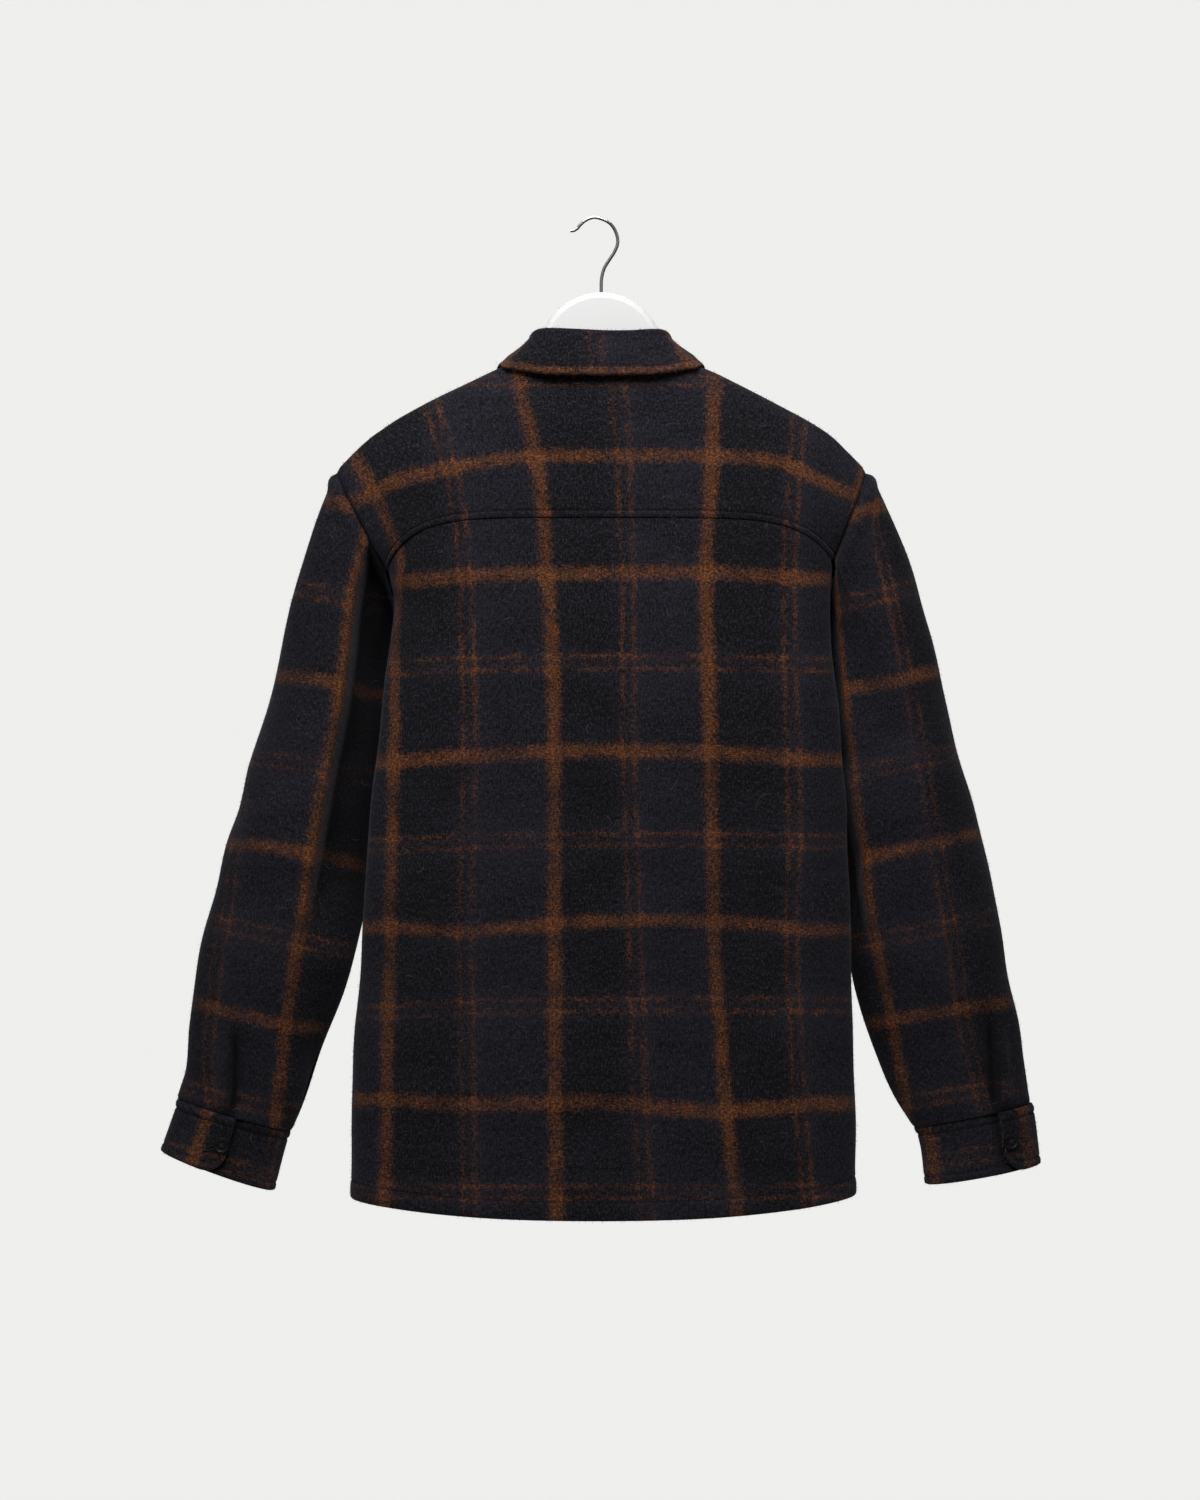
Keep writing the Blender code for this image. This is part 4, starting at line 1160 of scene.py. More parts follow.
def makeBack():
    offsets = lineOffsets(backGrid, backBands, "x", [f"band{n}" for n in range(8)])
    values = [-n * check["along"] / 2 for n in range(8)]
    cut = np.stack([checkAcross(backGrid), checkDown(backGrid, offsets, values)], -1)
    down, across = walked(backGrid, 0), walked(backGrid, 1)
    toSides = toBothEnds(across)
    toHem, height = hemShape(down)
    height = height + seam(toSides, 0.0016, 0.003) - backLook["tuck"] * np.exp(-down / 0.006)
    height += faded(unevenness(cut, backLook["wave"], 5), 0.03, toHem, down, toSides)
    height += folds(cut, (
        (-0.140, 0.020, -0.125, -0.200, -0.0030, 0.022),
        (0.205, 0.010, 0.190, -0.230, -0.0034, 0.024),
        (-0.105, -0.120, -0.085, -0.420, 0.0022, 0.026),
        (0.140, -0.100, 0.150, -0.380, 0.0020, 0.028),
        (0.050, -0.220, 0.075, -0.560, -0.0022, 0.030),
        (-0.030, -0.300, -0.045, -0.570, 0.0020, 0.034),
        (-0.125, -0.380, -0.135, -0.560, -0.0022, 0.024),
        (0.190, -0.360, 0.215, -0.560, 0.0022, 0.022),
    ))
    # Painted shade in the hem's stitch groove and along the top, where the panel goes under the yoke
    pressed = hump(toHem - garment["hemDepth"], 0.0008) * 0.8 + np.exp(-down / 0.0016) * 0.35
    points = backGrid + facing(backGrid, -1) * height[..., None]
    points[0] = tucked(points, -1)
    return clothPiece("back", points, cut, -1, garment["ply"] * 2, "back_panel", hemWeights(toHem), pressed)


backCloth = makeBack()

# Fronts, with the wearer's left one over the right one
frontLook = {"underLap": 0.0031, "flat": (0.33, 0.79), "wave": 0.0006, "checkShift": 0.03}


def makeFront(side):
    grid, _ = fronts[side]
    down, across = walked(grid, 0), walked(grid, 1)
    centre = detail["lapSteps"] // 2
    fromCentre = (across - across[:, centre:centre + 1]) * side
    cut = np.stack([fromCentre, down[chestRow] - down - frontLook["checkShift"]], -1)
    toHem, height = hemShape(down)
    toSide = across[:, -1:] - across
    shoulderPart = (np.arange(grid.shape[1]) >= grid.shape[1] - shoulderSteps - 1)[None]
    height = height + seam(toSide, 0.0016, 0.003) + seam(down) * shoulderPart
    height += faded(unevenness(cut, frontLook["wave"], 7 + side), 0.03, toHem, down, toSide)
    height += folds(cut, (
        (side * 0.190, 0.060, side * 0.130, -0.090, -0.0030, 0.018),
        (side * 0.120, 0.020, side * 0.110, -0.260, 0.0022, 0.024),
        (side * 0.070, -0.200, side * 0.085, -0.560, -0.0026, 0.028),
        (side * 0.165, -0.250, side * 0.150, -0.520, 0.0024, 0.024),
    )) * ease((np.abs(fromCentre) - 0.02) / 0.03)
    points = grid + facing(grid, side) * height[..., None]
    if side == 1:
        inward = ease(1 - (np.arange(grid.shape[1]) - detail["lapSteps"]) / 10)
        points = points - facing(grid, side) * (inward * frontLook["underLap"])[None, :, None]
    # Painted shade in the hem's stitch groove
    pressed = hump(toHem - garment["hemDepth"], 0.0008) * 0.8
    name = sideNames[side]
    return clothPiece(
        name + "Front", points, cut, side, garment["ply"] * 2, name + "_front", hemWeights(toHem), pressed
    )


frontCloth = {side: makeFront(side) for side in sides}

# Sleeves
sleeveLook = {
    "flat": (0.37, 0.60),
    "wave": 0.0009,
    "columns": 240,
    "headSeam": (0.0028, 0.0046),     # depth and width
    "underSeam": (0.0010, 0.0025),
    "wristSeam": (0.0006, 0.0020),
    "tuck": 0.0052,
    "puff": {"height": 0.0032, "down": 0.010, "width": 0.007},     # at the shoulder, below its seam
    "trim": {-1: 0.0052, 1: 0.0},     # the outline above the elbow lies this far inside the cut form
    "trimZ": -0.440,
    "trimWidth": 0.065,
    "recess": 0.031,     # how far back the cloth between the sleeve and the body lies
    "recessFoot": -0.67,
    "ridge": {"height": 0.0030, "out": 0.002, "width": 0.009},     # beside the recess
    "ventTop": {-1: (-0.3320, -0.7290), 1: (0.3530, -0.7170)},
    "ventFoot": {-1: (-0.3350, -0.8050), 1: (0.3585, -0.8010)},
    "lip": {"height": 0.0048, "out": 0.0050, "width": 0.0065},
    "underDepth": 0.0120,
}


def armholeLoop(side):
    column = -1 if side == 1 else 0
    above = len(armholeLevels())
    frontGrid, underarmRow = fronts[side]
    frontEdge = frontGrid[:underarmRow + 1, -1]
    backEdge = np.concatenate([yokeGrid[:, column], backGrid[1:above, column]])
    frontWalk, backWalk = walked(frontEdge, 0), walked(backEdge, 0)
    frontAngles, backAngles = -math.pi * (frontWalk / frontWalk[-1]), math.pi * backWalk / backWalk[-1]
    loop = np.concatenate([frontEdge[::-1], backEdge[1:]])
    return loop, np.concatenate([frontAngles[::-1], backAngles[1:]])


def evenLoop(loop, angles, count):
    wanted = np.linspace(-math.pi, math.pi, count)
    return np.stack([np.interp(wanted, angles, loop[:, i]) for i in range(3)], -1), wanted


def makeSleeve(side):
    look = sleeveLook
    loop, angles = evenLoop(*armholeLoop(side), look["columns"])
    grid = sleeveForms(loop, angles, side)
    x, z = seen(grid)
    behind = np.where(angles >= 0, 0, np.nan)[None]
    strong = x - along(sleeveLines[side], "z", z, "strong") + behind
    faint = x - along(sleeveLines[side], "z", z, "faint") + behind
    around = walked(grid, 1)
    acrossCut = checkPlaces(around, [(strong, 0.0), (faint, -check["across"] / 2)], middle=0.75)
    offsets = lineOffsets(grid, sleeveBands[side], "x", [f"band{n}" for n in range(4)])
    downCut = checkDown(grid, offsets, [-n * check["along"] for n in range(4)])
    cut = np.stack([acrossCut, downCut], -1)
    toHead = walked(grid, 0)
    toWrist, toSeam = toHead[-1] - toHead, toBothEnds(around)
    height = seam(toHead, *look["headSeam"]) + seam(toSeam, *look["underSeam"])
    height = height + seam(toWrist, *look["wristSeam"])
    puff, outside = look["puff"], np.cos(angles / 2)[None]
    height = height + puff["height"] * hump(toHead - puff["down"], puff["width"]) * outside ** 8
    height += faded(faded(unevenness(cut, look["wave"], 21 + side), 0.03, toHead, toWrist), 0.02, toSeam)
    height += folds(cut, sleeveFolds[side])
    height -= look["trim"][side] * hump(z - look["trimZ"], look["trimWidth"]) * outside ** 4
    inward = -(x - along(sleeveLines[side], "z", z, "strong")) * side
    reach = ease(toHead / 0.014) * ease((z - look["recessFoot"]) / 0.12)
    recess = ease((inward - 0.001) / 0.008) * (angles > 0) + ease((-angles - 2.0) / 1.1) * (angles <= 0)
    # shaded is painted shade on the cloth that turns back into the recess beside the body
    recess, shaded = recess * reach, ease((inward - 0.0015) / 0.006) * reach * (angles > 0)
    ridge = look["ridge"]
    ridge = ridge["height"] * hump(inward + ridge["out"], ridge["width"]) * (angles > 0)
    height += ridge * ease(toHead / 0.03) * ease((z + 0.70) / 0.10)
    vent, ventShade = ventShape(x, z, behind, side)
    height += vent * ease(toWrist / 0.012)
    points = grid + facing(grid, side) * height[..., None]
    points[..., 1] += recess * look["recess"]
    points[0] = tucked(points, side, look["tuck"])
    # Painted shade: in the vent's slit, along the armhole seam and in the recess
    pressed = np.clip(ventShade + hump(toHead, 0.0026) * 0.7 + shaded * 1.5, 0, 2)
    name = sideNames[side]
    print(name, "sleeve's cut from", cut.min((0, 1)).round(3), "to", cut.max((0, 1)).round(3))
    return clothPiece(name + "Sleeve", points, cut, side, garment["ply"], name + "_sleeve", pressed=pressed)


def ventShape(x, z, behind, side):
    # The slit above the cuff: its outer side lies on top with a soft edge, the inner one goes under. The
    # second result is painted shade in the slit and on the inner side beside it.
    (x1, z1), (x2, z2) = sleeveLook["ventTop"][side], sleeveLook["ventFoot"][side]
    share = (z - z1) / (z2 - z1)
    outwards = (x - (x1 + (x2 - x1) * share)) * side
    inwards = np.maximum(-outwards, 0)
    strength = ease((share + 0.15) / 0.55) * (share < 1.6) * (behind == 0)
    lip = sleeveLook["lip"]
    top = lip["height"] * hump(outwards - lip["out"], lip["width"])
    under = -sleeveLook["underDepth"] * np.exp(-inwards / 0.012) * (1 - ease(outwards / 0.0016 + 0.5))
    # Painted shadow: dark in the slit and fading over the inner side
    slit = 2.0 * hump(outwards + 0.0015, 0.0036)
    return strength * (top + under), strength * (slit + 1.5 * np.exp(-inwards / 0.007) * (outwards < 0))


sleeveFolds = {
    -1: (
        (0.020, -0.210, -0.080, -0.290, -0.0030, 0.016),
        (0.060, -0.320, -0.040, -0.360, -0.0026, 0.014),
        (-0.090, -0.130, -0.060, -0.260, 0.0022, 0.020),
        (0.050, -0.100, 0.020, -0.240, -0.0034, 0.020),
        (-0.060, -0.400, 0.010, -0.470, 0.0024, 0.016),
        (0.020, -0.430, 0.040, -0.540, -0.0028, 0.014),
        (-0.200, -0.200, -0.160, -0.330, -0.0034, 0.018),
        (-0.180, -0.380, -0.220, -0.480, 0.0030, 0.018),
    ),
    1: (
        (0.020, -0.230, -0.070, -0.200, -0.0028, 0.016),
        (0.040, -0.330, -0.050, -0.300, -0.0028, 0.015),
        (-0.060, -0.120, -0.090, -0.250, 0.0022, 0.020),
        (0.040, -0.090, 0.010, -0.220, -0.0034, 0.020),
        (-0.020, -0.390, -0.070, -0.470, 0.0026, 0.016),
        (0.010, -0.440, -0.010, -0.540, -0.0028, 0.014),
        (-0.200, -0.220, -0.170, -0.340, -0.0034, 0.018),
        (-0.190, -0.400, -0.220, -0.490, 0.0030, 0.018),
    ),
}
sleeveCloth = {side: makeSleeve(side) for side in sides}
print("sleeves made")

# Cuffs
cuffLook = {
    "height": 0.055,
    "top": 0.3213,     # down the sleeve's form
    "start": -0.0015,
    "columns": 230,
    "lap": math.radians(42),
    "end": {-1: math.radians(95), 1: math.radians(68)},
    "corner": 0.020,
    "underStretch": 0.78,     # keeps the faint line of the covered end under the lap
    "ramp": math.radians(70),
    "stitchLine": 0.0085,
    "edgeLine": 0.0075,
    "edgeRadius": 0.0016,
    "wave": 0.0005,
    "step": 0.0024,     # how far in the covered end lies beside the lap
    "stepReach": 0.0050,
    "strong": {-1: (428, 68), 1: (148, 400)},     # where rust lines run up it, in degrees from the outer side
    "faint": {-1: -0.849, 1: -0.8405},
    "faintSlope": {-1: 0.27, 1: -0.16},
    "flat": (0.30, 0.058),
}


def cornerCut(distance, reach):
    # How much the rounded corner takes off, at a distance from the edge
    return cuffLook["corner"] * (1 - np.sqrt(1 - np.maximum(1 - distance / reach, 0) ** 2))


def cuffForm(side):
    top, bottom = cuffLook["top"], cuffLine + cuffLook["height"]
    girth = float(along(sleeveForm[side], "length", bottom, "halfWidth"))
    sweep = 2 * math.pi + cuffLook["lap"]
    corner = cuffLook["corner"] / girth
    closer = np.array([1, 0.85, 0.7, 0.55, 0.4, 0.28, 0.17, 0.08, 0.03, 0])     # round the corner
    even = np.linspace(0, sweep - corner, cuffLook["columns"])[:-1]
    turned = np.concatenate([even, sweep - corner * closer])
    start = cuffLook["end"][side] - cuffLook["lap"]
    rise = (garment["twoPly"] + 0.0003) * ease((turned - 2 * math.pi + cuffLook["ramp"]) / cuffLook["ramp"])
    low = bottom - cornerCut(sweep - turned, corner)
    stitchShare = 0.5 * cuffLook["stitchLine"] / cuffLook["height"]
    share = stations(0, 1, 0.045, (stitchShare, 0.14, 0.016), (0.9, 0.1, 0.016))
    lengths = top + (low - top)[None] * share[:, None]
    grid = np.empty((len(share), len(turned), 3))
    for i in range(len(turned)):
        angle = np.array([start + turned[i]])
        ring = sleeveRing(lengths[:, i], angle, side)[:, 0]
        ends = sleeveRing(lengths[:, i], np.array([0, math.pi]), side).mean(axis=1)
        grid[:, i] = ring + unit(ring - ends) * (rise[i] + cuffLook["start"])
    return grid, start + turned


def makeCuff(side):
    look = cuffLook
    grid, turns = cuffForm(side)
    x, z = seen(grid)
    around, toTop = walked(grid, 1), walked(grid, 0)
    base = around[0]
    knots = [np.interp(math.radians(angle), turns, base) for angle in sorted(look["strong"][side])]
    between = max(round((knots[1] - knots[0]) / check["across"]), 1) * check["across"]
    u = np.interp(base, knots, [0, between])
    u[base < knots[0]] = (base[base < knots[0]] - knots[0]) * look["underStretch"]
    u[base > knots[1]] = between + base[base > knots[1]] - knots[1]
    middle = side * float(along(sleeveForm[side], "length", 0.35, "x"))
    line = z - (look["faint"][side] - look["faintSlope"][side] * (x - middle))
    v = check["along"] / 2 + line
    cut = np.stack([np.broadcast_to(u[None], v.shape), v], -1)
    toFoot, toEnd = toTop[-1] - toTop, around[:, -1:] - around
    edge = np.minimum(toFoot, toEnd)
    sweep, girth = 2 * math.pi + look["lap"], around[:, -1:].mean() / (2 * math.pi + look["lap"])
    pastLap = (turns[None] - turns[0] - (sweep - 2 * math.pi)) * girth + cornerCut(toFoot, look["corner"])
    # beside sinks the covered end next to the lap's edge, and also paints a shadow there
    beside = np.exp(-np.maximum(pastLap, 0) / look["stepReach"]) * ease(pastLap / 0.002 + 1)
    beside = beside * (turns - turns[0] < 2)[None]
    height = seam(toTop, 0.0006, 0.0016) + stitched(toFoot, look["edgeLine"], 0.0005, 0.0006)
    height = height - look["step"] * beside
    height = height + 0.0006 * hump(toTop - look["stitchLine"] / 2, 0.003)
    height = height - 0.0009 * hump(toTop - look["stitchLine"], 0.0012)
    height = height + stitched(toEnd, look["edgeLine"], 0.0005, 0.0007) * ease(toTop / 0.006)
    height = height - curled(edge, look["edgeRadius"])
    height = height + faded(unevenness(cut, look["wave"], 31 + side), 0.01, toTop)
    # Painted shade in the stitch grooves, and the painted shadow beside the lap's edge
    rows = np.maximum(hump(toTop - look["stitchLine"], 0.0008), hump(edge - look["edgeLine"], 0.0008))
    pressed = np.maximum(rows * 0.7, beside * 2.0)
    points = grid + facing(grid, side) * height[..., None]
    name = sideNames[side]
    return clothPiece(name + "Cuff", points, cut, side, garment["twoPly"], name + "_cuff", pressed=pressed)


cuffCloth = {side: makeCuff(side) for side in sides}
print("cuffs made")

# Collar and its stand
collarLook = {
    "stitchLine": 0.0080,
    "centre": -0.0045,
    "columns": 221,
    "edgeRadius": 0.0018,
    "wave": 0.0004,
    "flat": (0.46, 0.075),
    "standFlat": (0.47, 0.036),
    "standColumns": 180,
    "standRows": 12,
}


def makeCollar():
    share = np.linspace(-1, 1, collarLook["columns"])
    lap = lapTurn(neck["halfWidth"], neck["squareness"])
    columns = []
    up, rolls = np.array([0, 0, 1.0]), np.linspace(0, math.pi, 18)
    falls = stations(0, 1, 0.055, (0.90, 0.10, 0.018))[1:]
    for place in share:
        side = -1 if place < 0 else 1
        turn = np.array([abs(place) * (math.pi - lap / 2)])
        top, out = standTop(turn, side)[0], away(standTop, turn, side)[0]
        centre = top + out * (stand["foldRadius"] - garment["twoPly"]) + up * stand["foldLift"]
        arc = centre + stand["foldRadius"] * (up * np.sin(rolls)[:, None] - out * np.cos(rolls)[:, None])
        edge = placed(collarEdge, "share", abs(place), side)
        fall = arc[-1] + (edge - arc[-1]) * falls[:, None]
        columns.append(np.concatenate([arc, fall]))
    grid = np.array(columns).transpose(1, 0, 2)
    down, around = walked(grid, 0), walked(grid, 1)
    toEdge = down[-1] - down
    foldRow = len(rolls) // 2
    middle = grid.shape[1] // 2
    u = around[foldRow] - around[foldRow, middle] - collarLook["centre"] + check["across"] / 2
    cut = np.stack([np.broadcast_to(u, toEdge.shape), toEdge - 0.0015], -1)
    edge = np.minimum(toEdge, toBothEnds(around))
    onShoulder = hump(np.abs(share) - 0.50, 0.11)
    height = stitched(edge, collarLook["stitchLine"], 0.0009, 0.0010) * (1 - 0.9 * onShoulder)
    height = height - 0.0022 * onShoulder * ease(1 - toEdge / 0.014)
    height = height - curled(edge, collarLook["edgeRadius"])
    height = height + faded(unevenness(cut, collarLook["wave"], 41), 0.02, toEdge)
    height += folds(cut, (
        (0.075, 0.052, 0.105, 0.050, -0.0016, 0.006),
        (0.150, 0.030, 0.170, 0.055, -0.0010, 0.010),
    ))
    points = grid + facing(grid, -1) * height[..., None]
    # Painted shade in the stitch groove
    pressed = hump(edge - collarLook["stitchLine"], 0.0009) * 0.8
    return clothPiece("collar", points, cut, -1, garment["twoPly"], "collar", pressed=pressed)


def makeStand():
    lap = lapTurn(neck["halfWidth"], neck["squareness"])
    turns = np.linspace(-math.pi - lap, math.pi + lap, collarLook["standColumns"])
    rows = []
    for height in np.linspace(1, 0, collarLook["standRows"]):
        row = []
        for turn in turns:
            side = -1 if turn < 0 else 1
            at = np.array([abs(turn)])
            foot = neckline(at, side)[0] - away(neckline, at, side)[0] * 0.0003
            foot[2] += stand["lift"]
            point = foot + (standTop(at, side)[0] - foot) * height
            under = (garment["twoPly"] + 0.0005) * ease((turn - math.pi + 3 * lap) / (1.5 * lap))
            row.append(point - away(standTop, at, side)[0] * under)
        rows.append(row)
    grid = np.array(rows)
    around, down = walked(grid, 1), walked(grid, 0)
    toFoot, middle = down[-1] - down, collarLook["standColumns"] // 2
    cut = np.stack([around - around[:, middle:middle + 1], toFoot + 0.03], -1)
    toEdge = np.minimum(toFoot, toBothEnds(around))
    points = grid + facing(grid, -1) * seam(toEdge, 0.0008, 0.0020)[..., None]
    return clothPiece("stand", points, cut, -1, garment["twoPly"], "collar_stand")


collarCloth = makeCollar()
standCloth = makeStand()

# Placket on the wearer's left front
placketLook = {
    "ply": 0.0022,
    "above": 0.0025,     # the front's own cloth
    "columns": 33,
    "stitchLine": 0.006,
    "edgeRadius": 0.0012,
    "flat": (0.036, 0.70),
}


def makePlacket():
    grid, _ = fronts[-1]
    out = facing(grid, -1)
    fine = []
    for share in np.linspace(0, 1, placketLook["columns"]):
        i = min(int(share * detail["lapSteps"]), detail["lapSteps"] - 1)
        t = share * detail["lapSteps"] - i
        at, normal = (values[:, i] + (values[:, i + 1] - values[:, i]) * t for values in (grid, out))
        fine.append(at + normal * placketLook["above"])
    strip = np.array(fine).transpose(1, 0, 2)
    down, across = walked(strip, 0), walked(strip, 1)
    toEdge, toHem = toBothEnds(across), down[-1] - down
    height = stitched(toEdge, placketLook["stitchLine"], 0.0006, 0.0008)
    height = height - curled(np.minimum(toEdge, toHem), placketLook["edgeRadius"])
    middle = placketLook["columns"] // 2
    checkDownwards = down[chestRow] - down - frontLook["checkShift"]
    cut = np.stack([-(across - across[:, middle:middle + 1]), checkDownwards], -1)
    points = strip + facing(strip, -1) * height[..., None]
    # Painted shade in the stitch grooves
    pressed = hump(toEdge - placketLook["stitchLine"], 0.0008) * 0.7
    return clothPiece("placket", points, cut, -1, placketLook["ply"], "front_placket", pressed=pressed)


placketCloth = makePlacket()
print("collar, stand and placket made")


# Hanger, hook and buttons
whitePlastic = plainMaterial("white hanger plastic", (0.72, 0.72, 0.715), 0.48, change=0.03, specular=0.3)
hookSteel = plainMaterial("polished hook wire", (0.26, 0.26, 0.27), 0.30, 1.0)
hornPlastic = plainMaterial("dark horn button", (0.0050, 0.0042, 0.0044), 0.42, change=0.5, specular=0.2)

button = {
    "front": (0.0090, 0.0032),
    "cuff": (0.0070, 0.0032),
    "rim": 0.17,     # this and the next four are shares of the radius
    "slope": 0.10,
    "floor": 0.35,
    "hole": 0.095,
    "spread": 0.24,
    "dish": 0.00075,
    "round": 0.0005,
    "threadWidth": 0.0006,
    "holeLength": {"front": 0.0205, "cuff": 0.0195},
    "holeWidth": 0.0017,
    "holeShift": {"front": 0, "cuff": 0.0082},
}


def newCylinder(radius, depth, at, vertices, turned=(0, 0, 0)):
    deselectAll()
    bpy.ops.mesh.primitive_cylinder_add(
        vertices=vertices, radius=radius, depth=depth, location=at, rotation=turned
    )
    return bpy.context.object


def smoothByAngle(piece, degrees):
    deselectAll()
    piece.select_set(True)
    bpy.context.view_layer.objects.active = piece
    bpy.ops.object.shade_smooth_by_angle(angle=math.radians(degrees))


def makeButton(name):
    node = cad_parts[name]
    kind = "cuff" if "cuff" in name else "front"
    radius, thickness = button[kind]
    at = np.array([node.matrix_world @ v.co for v in node.data.vertices])
    centre = (at.min(0) + at.max(0)) / 2
    axis = np.linalg.svd(at - at.mean(0), full_matrices=False)[2][2]
    axis *= np.sign(axis[1]) * (-1 if kind == "cuff" else 1)
    made = newCylinder(radius, thickness, (0, 0, 0), 40)
    made.name = made.data.name = name + "Horn"
    bpy.ops.object.mode_set(mode="EDIT")
    bpy.ops.mesh.select_mode(type="FACE")
    bpy.ops.mesh.select_all(action="DESELECT")
    mesh = bmesh.from_edit_mesh(made.data)
    for face in mesh.faces:
        face.select = face.normal.z > 0.9
    bmesh.update_edit_mesh(made.data)
    dish = ((button["rim"], 0), (button["slope"], -button["dish"]), (button["floor"], -0.0001))
    for inset, drop in dish:
        bpy.ops.mesh.inset(thickness=inset * radius)
        bpy.ops.transform.translate(value=(0, 0, drop))
    bpy.ops.object.mode_set(mode="OBJECT")
    bevel = made.modifiers.new("round", "BEVEL")
    bevel.width, bevel.segments, bevel.limit_method = button["round"], 3, "ANGLE"
    bpy.ops.object.modifier_apply(modifier="round")
    spread = radius * button["spread"]
    for x, y in ((spread, spread), (-spread, spread), (-spread, -spread), (spread, -spread)):
        cutter = newCylinder(radius * button["hole"], thickness * 3, (x, y, 0), 12)
        bpy.context.view_layer.objects.active = made
        cut = made.modifiers.new("hole", "BOOLEAN")
        cut.object = cutter
        bpy.ops.object.modifier_apply(modifier="hole")
        bpy.data.objects.remove(cutter, do_unlink=True)
    threads = []
    level = thickness / 2 - button["dish"] + 0.0001
    for slant in (45, -45):
        turned = (math.radians(90), 0, math.radians(slant))
        thread = newCylinder(button["threadWidth"], spread * 2.9, (0, 0, level), 8, turned)
        thread.data.transform(thread.matrix_world)
        thread.matrix_world = Matrix()
        threads.append(thread)
    turn = Vector((0, 0, 1)).rotation_difference(Vector(axis)).to_matrix().to_4x4()
    place = Matrix.Translation(Vector(centre)) @ turn
    for piece, look in ((made, hornPlastic), *((thread, darkThread) for thread in threads)):
        piece.data.transform(place)
        piece.data.materials.clear()
        piece.data.materials.append(look)
        smoothByAngle(piece, 35)
    deselectAll()
    for thread in threads:
        thread.select_set(True)
    bpy.context.view_layer.objects.active = threads[0]
    bpy.ops.object.join()
    threads[0].name = threads[0].data.name = name + "Thread"
    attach(made, "root")
    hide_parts(name)
    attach(threads[0], "root")
    makeButtonhole(name, kind, centre, axis, thickness)


def makeButtonhole(name, kind, centre, axis, thickness):
    # A ring of close stitches round the slit, flat on the cloth under the button
    deselectAll()
    bpy.ops.mesh.primitive_torus_add(major_segments=64, minor_segments=8, major_radius=1, minor_radius=0.2)
    ring = bpy.context.object
    ring.name = ring.data.name = name + "Hole"
    length = button["holeLength"][kind]
    level = name in ("stand_button", "left_cuff_button", "right_cuff_button")
    long = np.array([1.0, 0, 0]) if level else np.array([0, 0, 1.0])
    if kind == "cuff":
        long = np.array([math.cos(cuffSlant[name]), 0, math.sin(cuffSlant[name])])
    long = unit(long - axis * (long @ axis))
    wide = np.cross(axis, long)
    co = np.array([v.co for v in ring.data.vertices])
    bulge = 1 + 0.16 * np.sin(np.arctan2(co[:, 1], co[:, 0]) * 30)     # the stitches stand out one by one
    foot = centre - axis * (thickness / 2 - 0.0004) + long * button["holeShift"][kind]
    world = (
        foot + np.outer(co[:, 0] * length / 2.4, long)
        + np.outer(co[:, 1] * button["holeWidth"] * bulge, wide) + np.outer(co[:, 2] * 0.0022, axis)
    )
    ring.data.vertices.foreach_set("co", world.astype(np.float32).ravel())
    ring.data.update()
    ring.data.materials.append(darkThread)
    bpy.ops.object.shade_smooth()
    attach(ring, "root")


for name, look in (("hanger_body", whitePlastic), ("hanger_hook", hookSteel)):
    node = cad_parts[name]
    node.data.materials.clear()
    node.data.materials.append(look)
    smoothByAngle(node, 40)

cuffSlant = {"left_cuff_button": math.radians(195), "right_cuff_button": math.radians(10)}
for name in list(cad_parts):
    if "button" in name:
        makeButton(name)
print("buttons made")

# Nap, loose hairs and stitches
napSeeds = {
    "yoke": 101, "back": 102, "collar": 103, "placket": 104, "leftFront": 105, "rightFront": 107,
    "leftSleeve": 108, "rightSleeve": 110, "leftCuff": 111, "rightCuff": 113,
}
laidOn = {}
for label, seed in napSeeds.items():
    laidOn[label] = [makeNap(label, seed), makeStrays(label, seed + 50)]
print("nap made")


def stitchAlong(label, name, *levels):
    # Rows of stitches at distances from the cloth's last row
    laidOn[label].append(makeStitches(name, [lineAt(cloths[label], level) for level in levels]))


stitchAlong("yoke", "yokeStitches", yokeLook["stitchLine"])
stitchAlong("back", "backHemStitches", garment["hemDepth"])
stitchAlong("collar", "collarStitches", collarLook["stitchLine"])
for name in sideNames.values():
    stitchAlong(name + "Front", name + "HemStitches", garment["hemDepth"])
    length = walked(cloths[name + "Cuff"]["points"], 0)[-1].mean()
    stitchAlong(name + "Cuff", name + "CuffStitches", cuffLook["edgeLine"], length - cuffLook["stitchLine"])
print("stitches made")

# Stage, light and camera
stage = {
    "floorZ": -1.45,
    "floorRadius": 1.15,
    "floor": (0.82, 0.82, 0.81),
    "backdrop": (0.862, 0.862, 0.848),
    "ambient": 0.115,
    "ambientColour": (0.98, 0.99, 1.0),
}


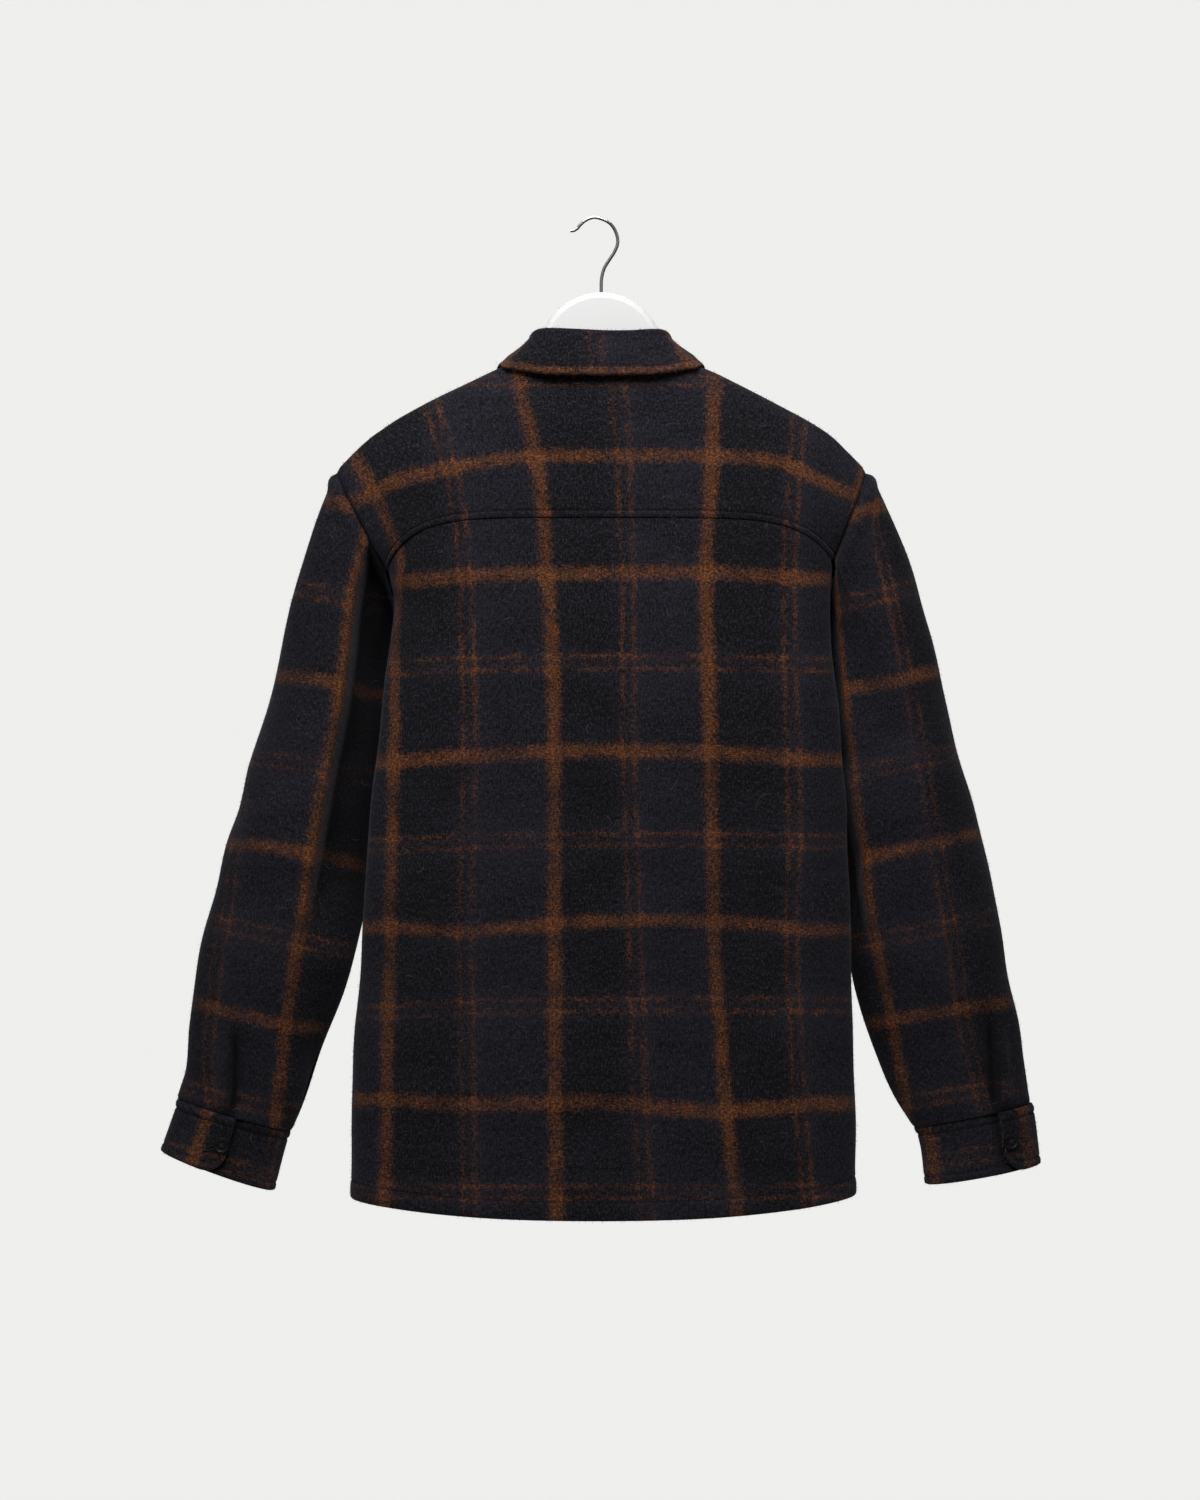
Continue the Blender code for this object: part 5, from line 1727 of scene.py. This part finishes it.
def makeStage():
    deselectAll()
    bpy.ops.mesh.primitive_circle_add(
        vertices=96, radius=stage["floorRadius"], fill_type="NGON", location=(0, 0, stage["floorZ"])
    )
    floor = bpy.context.object
    floor.name = "floor"
    paint, _, shader = newMaterial("pale floor")
    setInputs(shader, {"Base Color": (*stage["floor"], 1), "Roughness": 0.9})
    floor.data.materials.append(paint)
    world = bpy.data.worlds.new("studio")
    bpy.context.scene.world = world
    world.use_nodes = True
    tree = world.node_tree
    tree.nodes.clear()
    path = tree.nodes.new("ShaderNodeLightPath")
    mix = tree.nodes.new("ShaderNodeMixShader")
    shown, lighting = (tree.nodes.new("ShaderNodeBackground") for _ in range(2))
    shown.inputs["Color"].default_value = (*stage["backdrop"], 1)
    lighting.inputs["Color"].default_value = (*stage["ambientColour"], 1)
    lighting.inputs["Strength"].default_value = stage["ambient"]
    tree.links.new(path.outputs["Is Camera Ray"], mix.inputs[0])
    tree.links.new(lighting.outputs[0], mix.inputs[1])
    tree.links.new(shown.outputs[0], mix.inputs[2])
    output = tree.nodes.new("ShaderNodeOutputWorld")
    tree.links.new(mix.outputs[0], output.inputs["Surface"])


lampsAim = Vector((0, 0, -0.45))
lamps = {
    "top": {"at": (-0.10, -1.12, 0.95), "size": 1.0, "power": 36},
    "left": {"at": (-2.0, -1.3, 0.5), "size": 1.4, "power": 4.8},
    "right": {"at": (2.0, -1.3, 0.5), "size": 1.4, "power": 4.8},
    "behind": {"at": (0.0, 2.1, 0.9), "size": 1.6, "power": 14},
}


def makeLamps():
    for name, look in lamps.items():
        light = bpy.data.lights.new(name, "AREA")
        light.size, light.energy = look["size"], look["power"]
        lamp = bpy.data.objects.new(name, light)
        bpy.context.collection.objects.link(lamp)
        lamp.location = look["at"]
        lamp.rotation_euler = (lampsAim - lamp.location).to_track_quat("-Z", "Y").to_euler()


def makeCamera():
    lens = bpy.data.cameras.new("camera")
    lens.sensor_width = camera["sensor"]
    lens.lens = camera["sensor"] * camera["distance"] / camera["height"]
    viewer = bpy.data.objects.new("camera", lens)
    bpy.context.collection.objects.link(viewer)
    viewer.location = (camera["x"], -camera["distance"], camera["z"])
    viewer.rotation_euler = (math.radians(90), 0, 0)
    bpy.context.scene.camera = viewer


makeStage()
makeLamps()
makeCamera()
bpy.context.scene.view_settings.view_transform = "Standard"
print("stage, light and camera made")
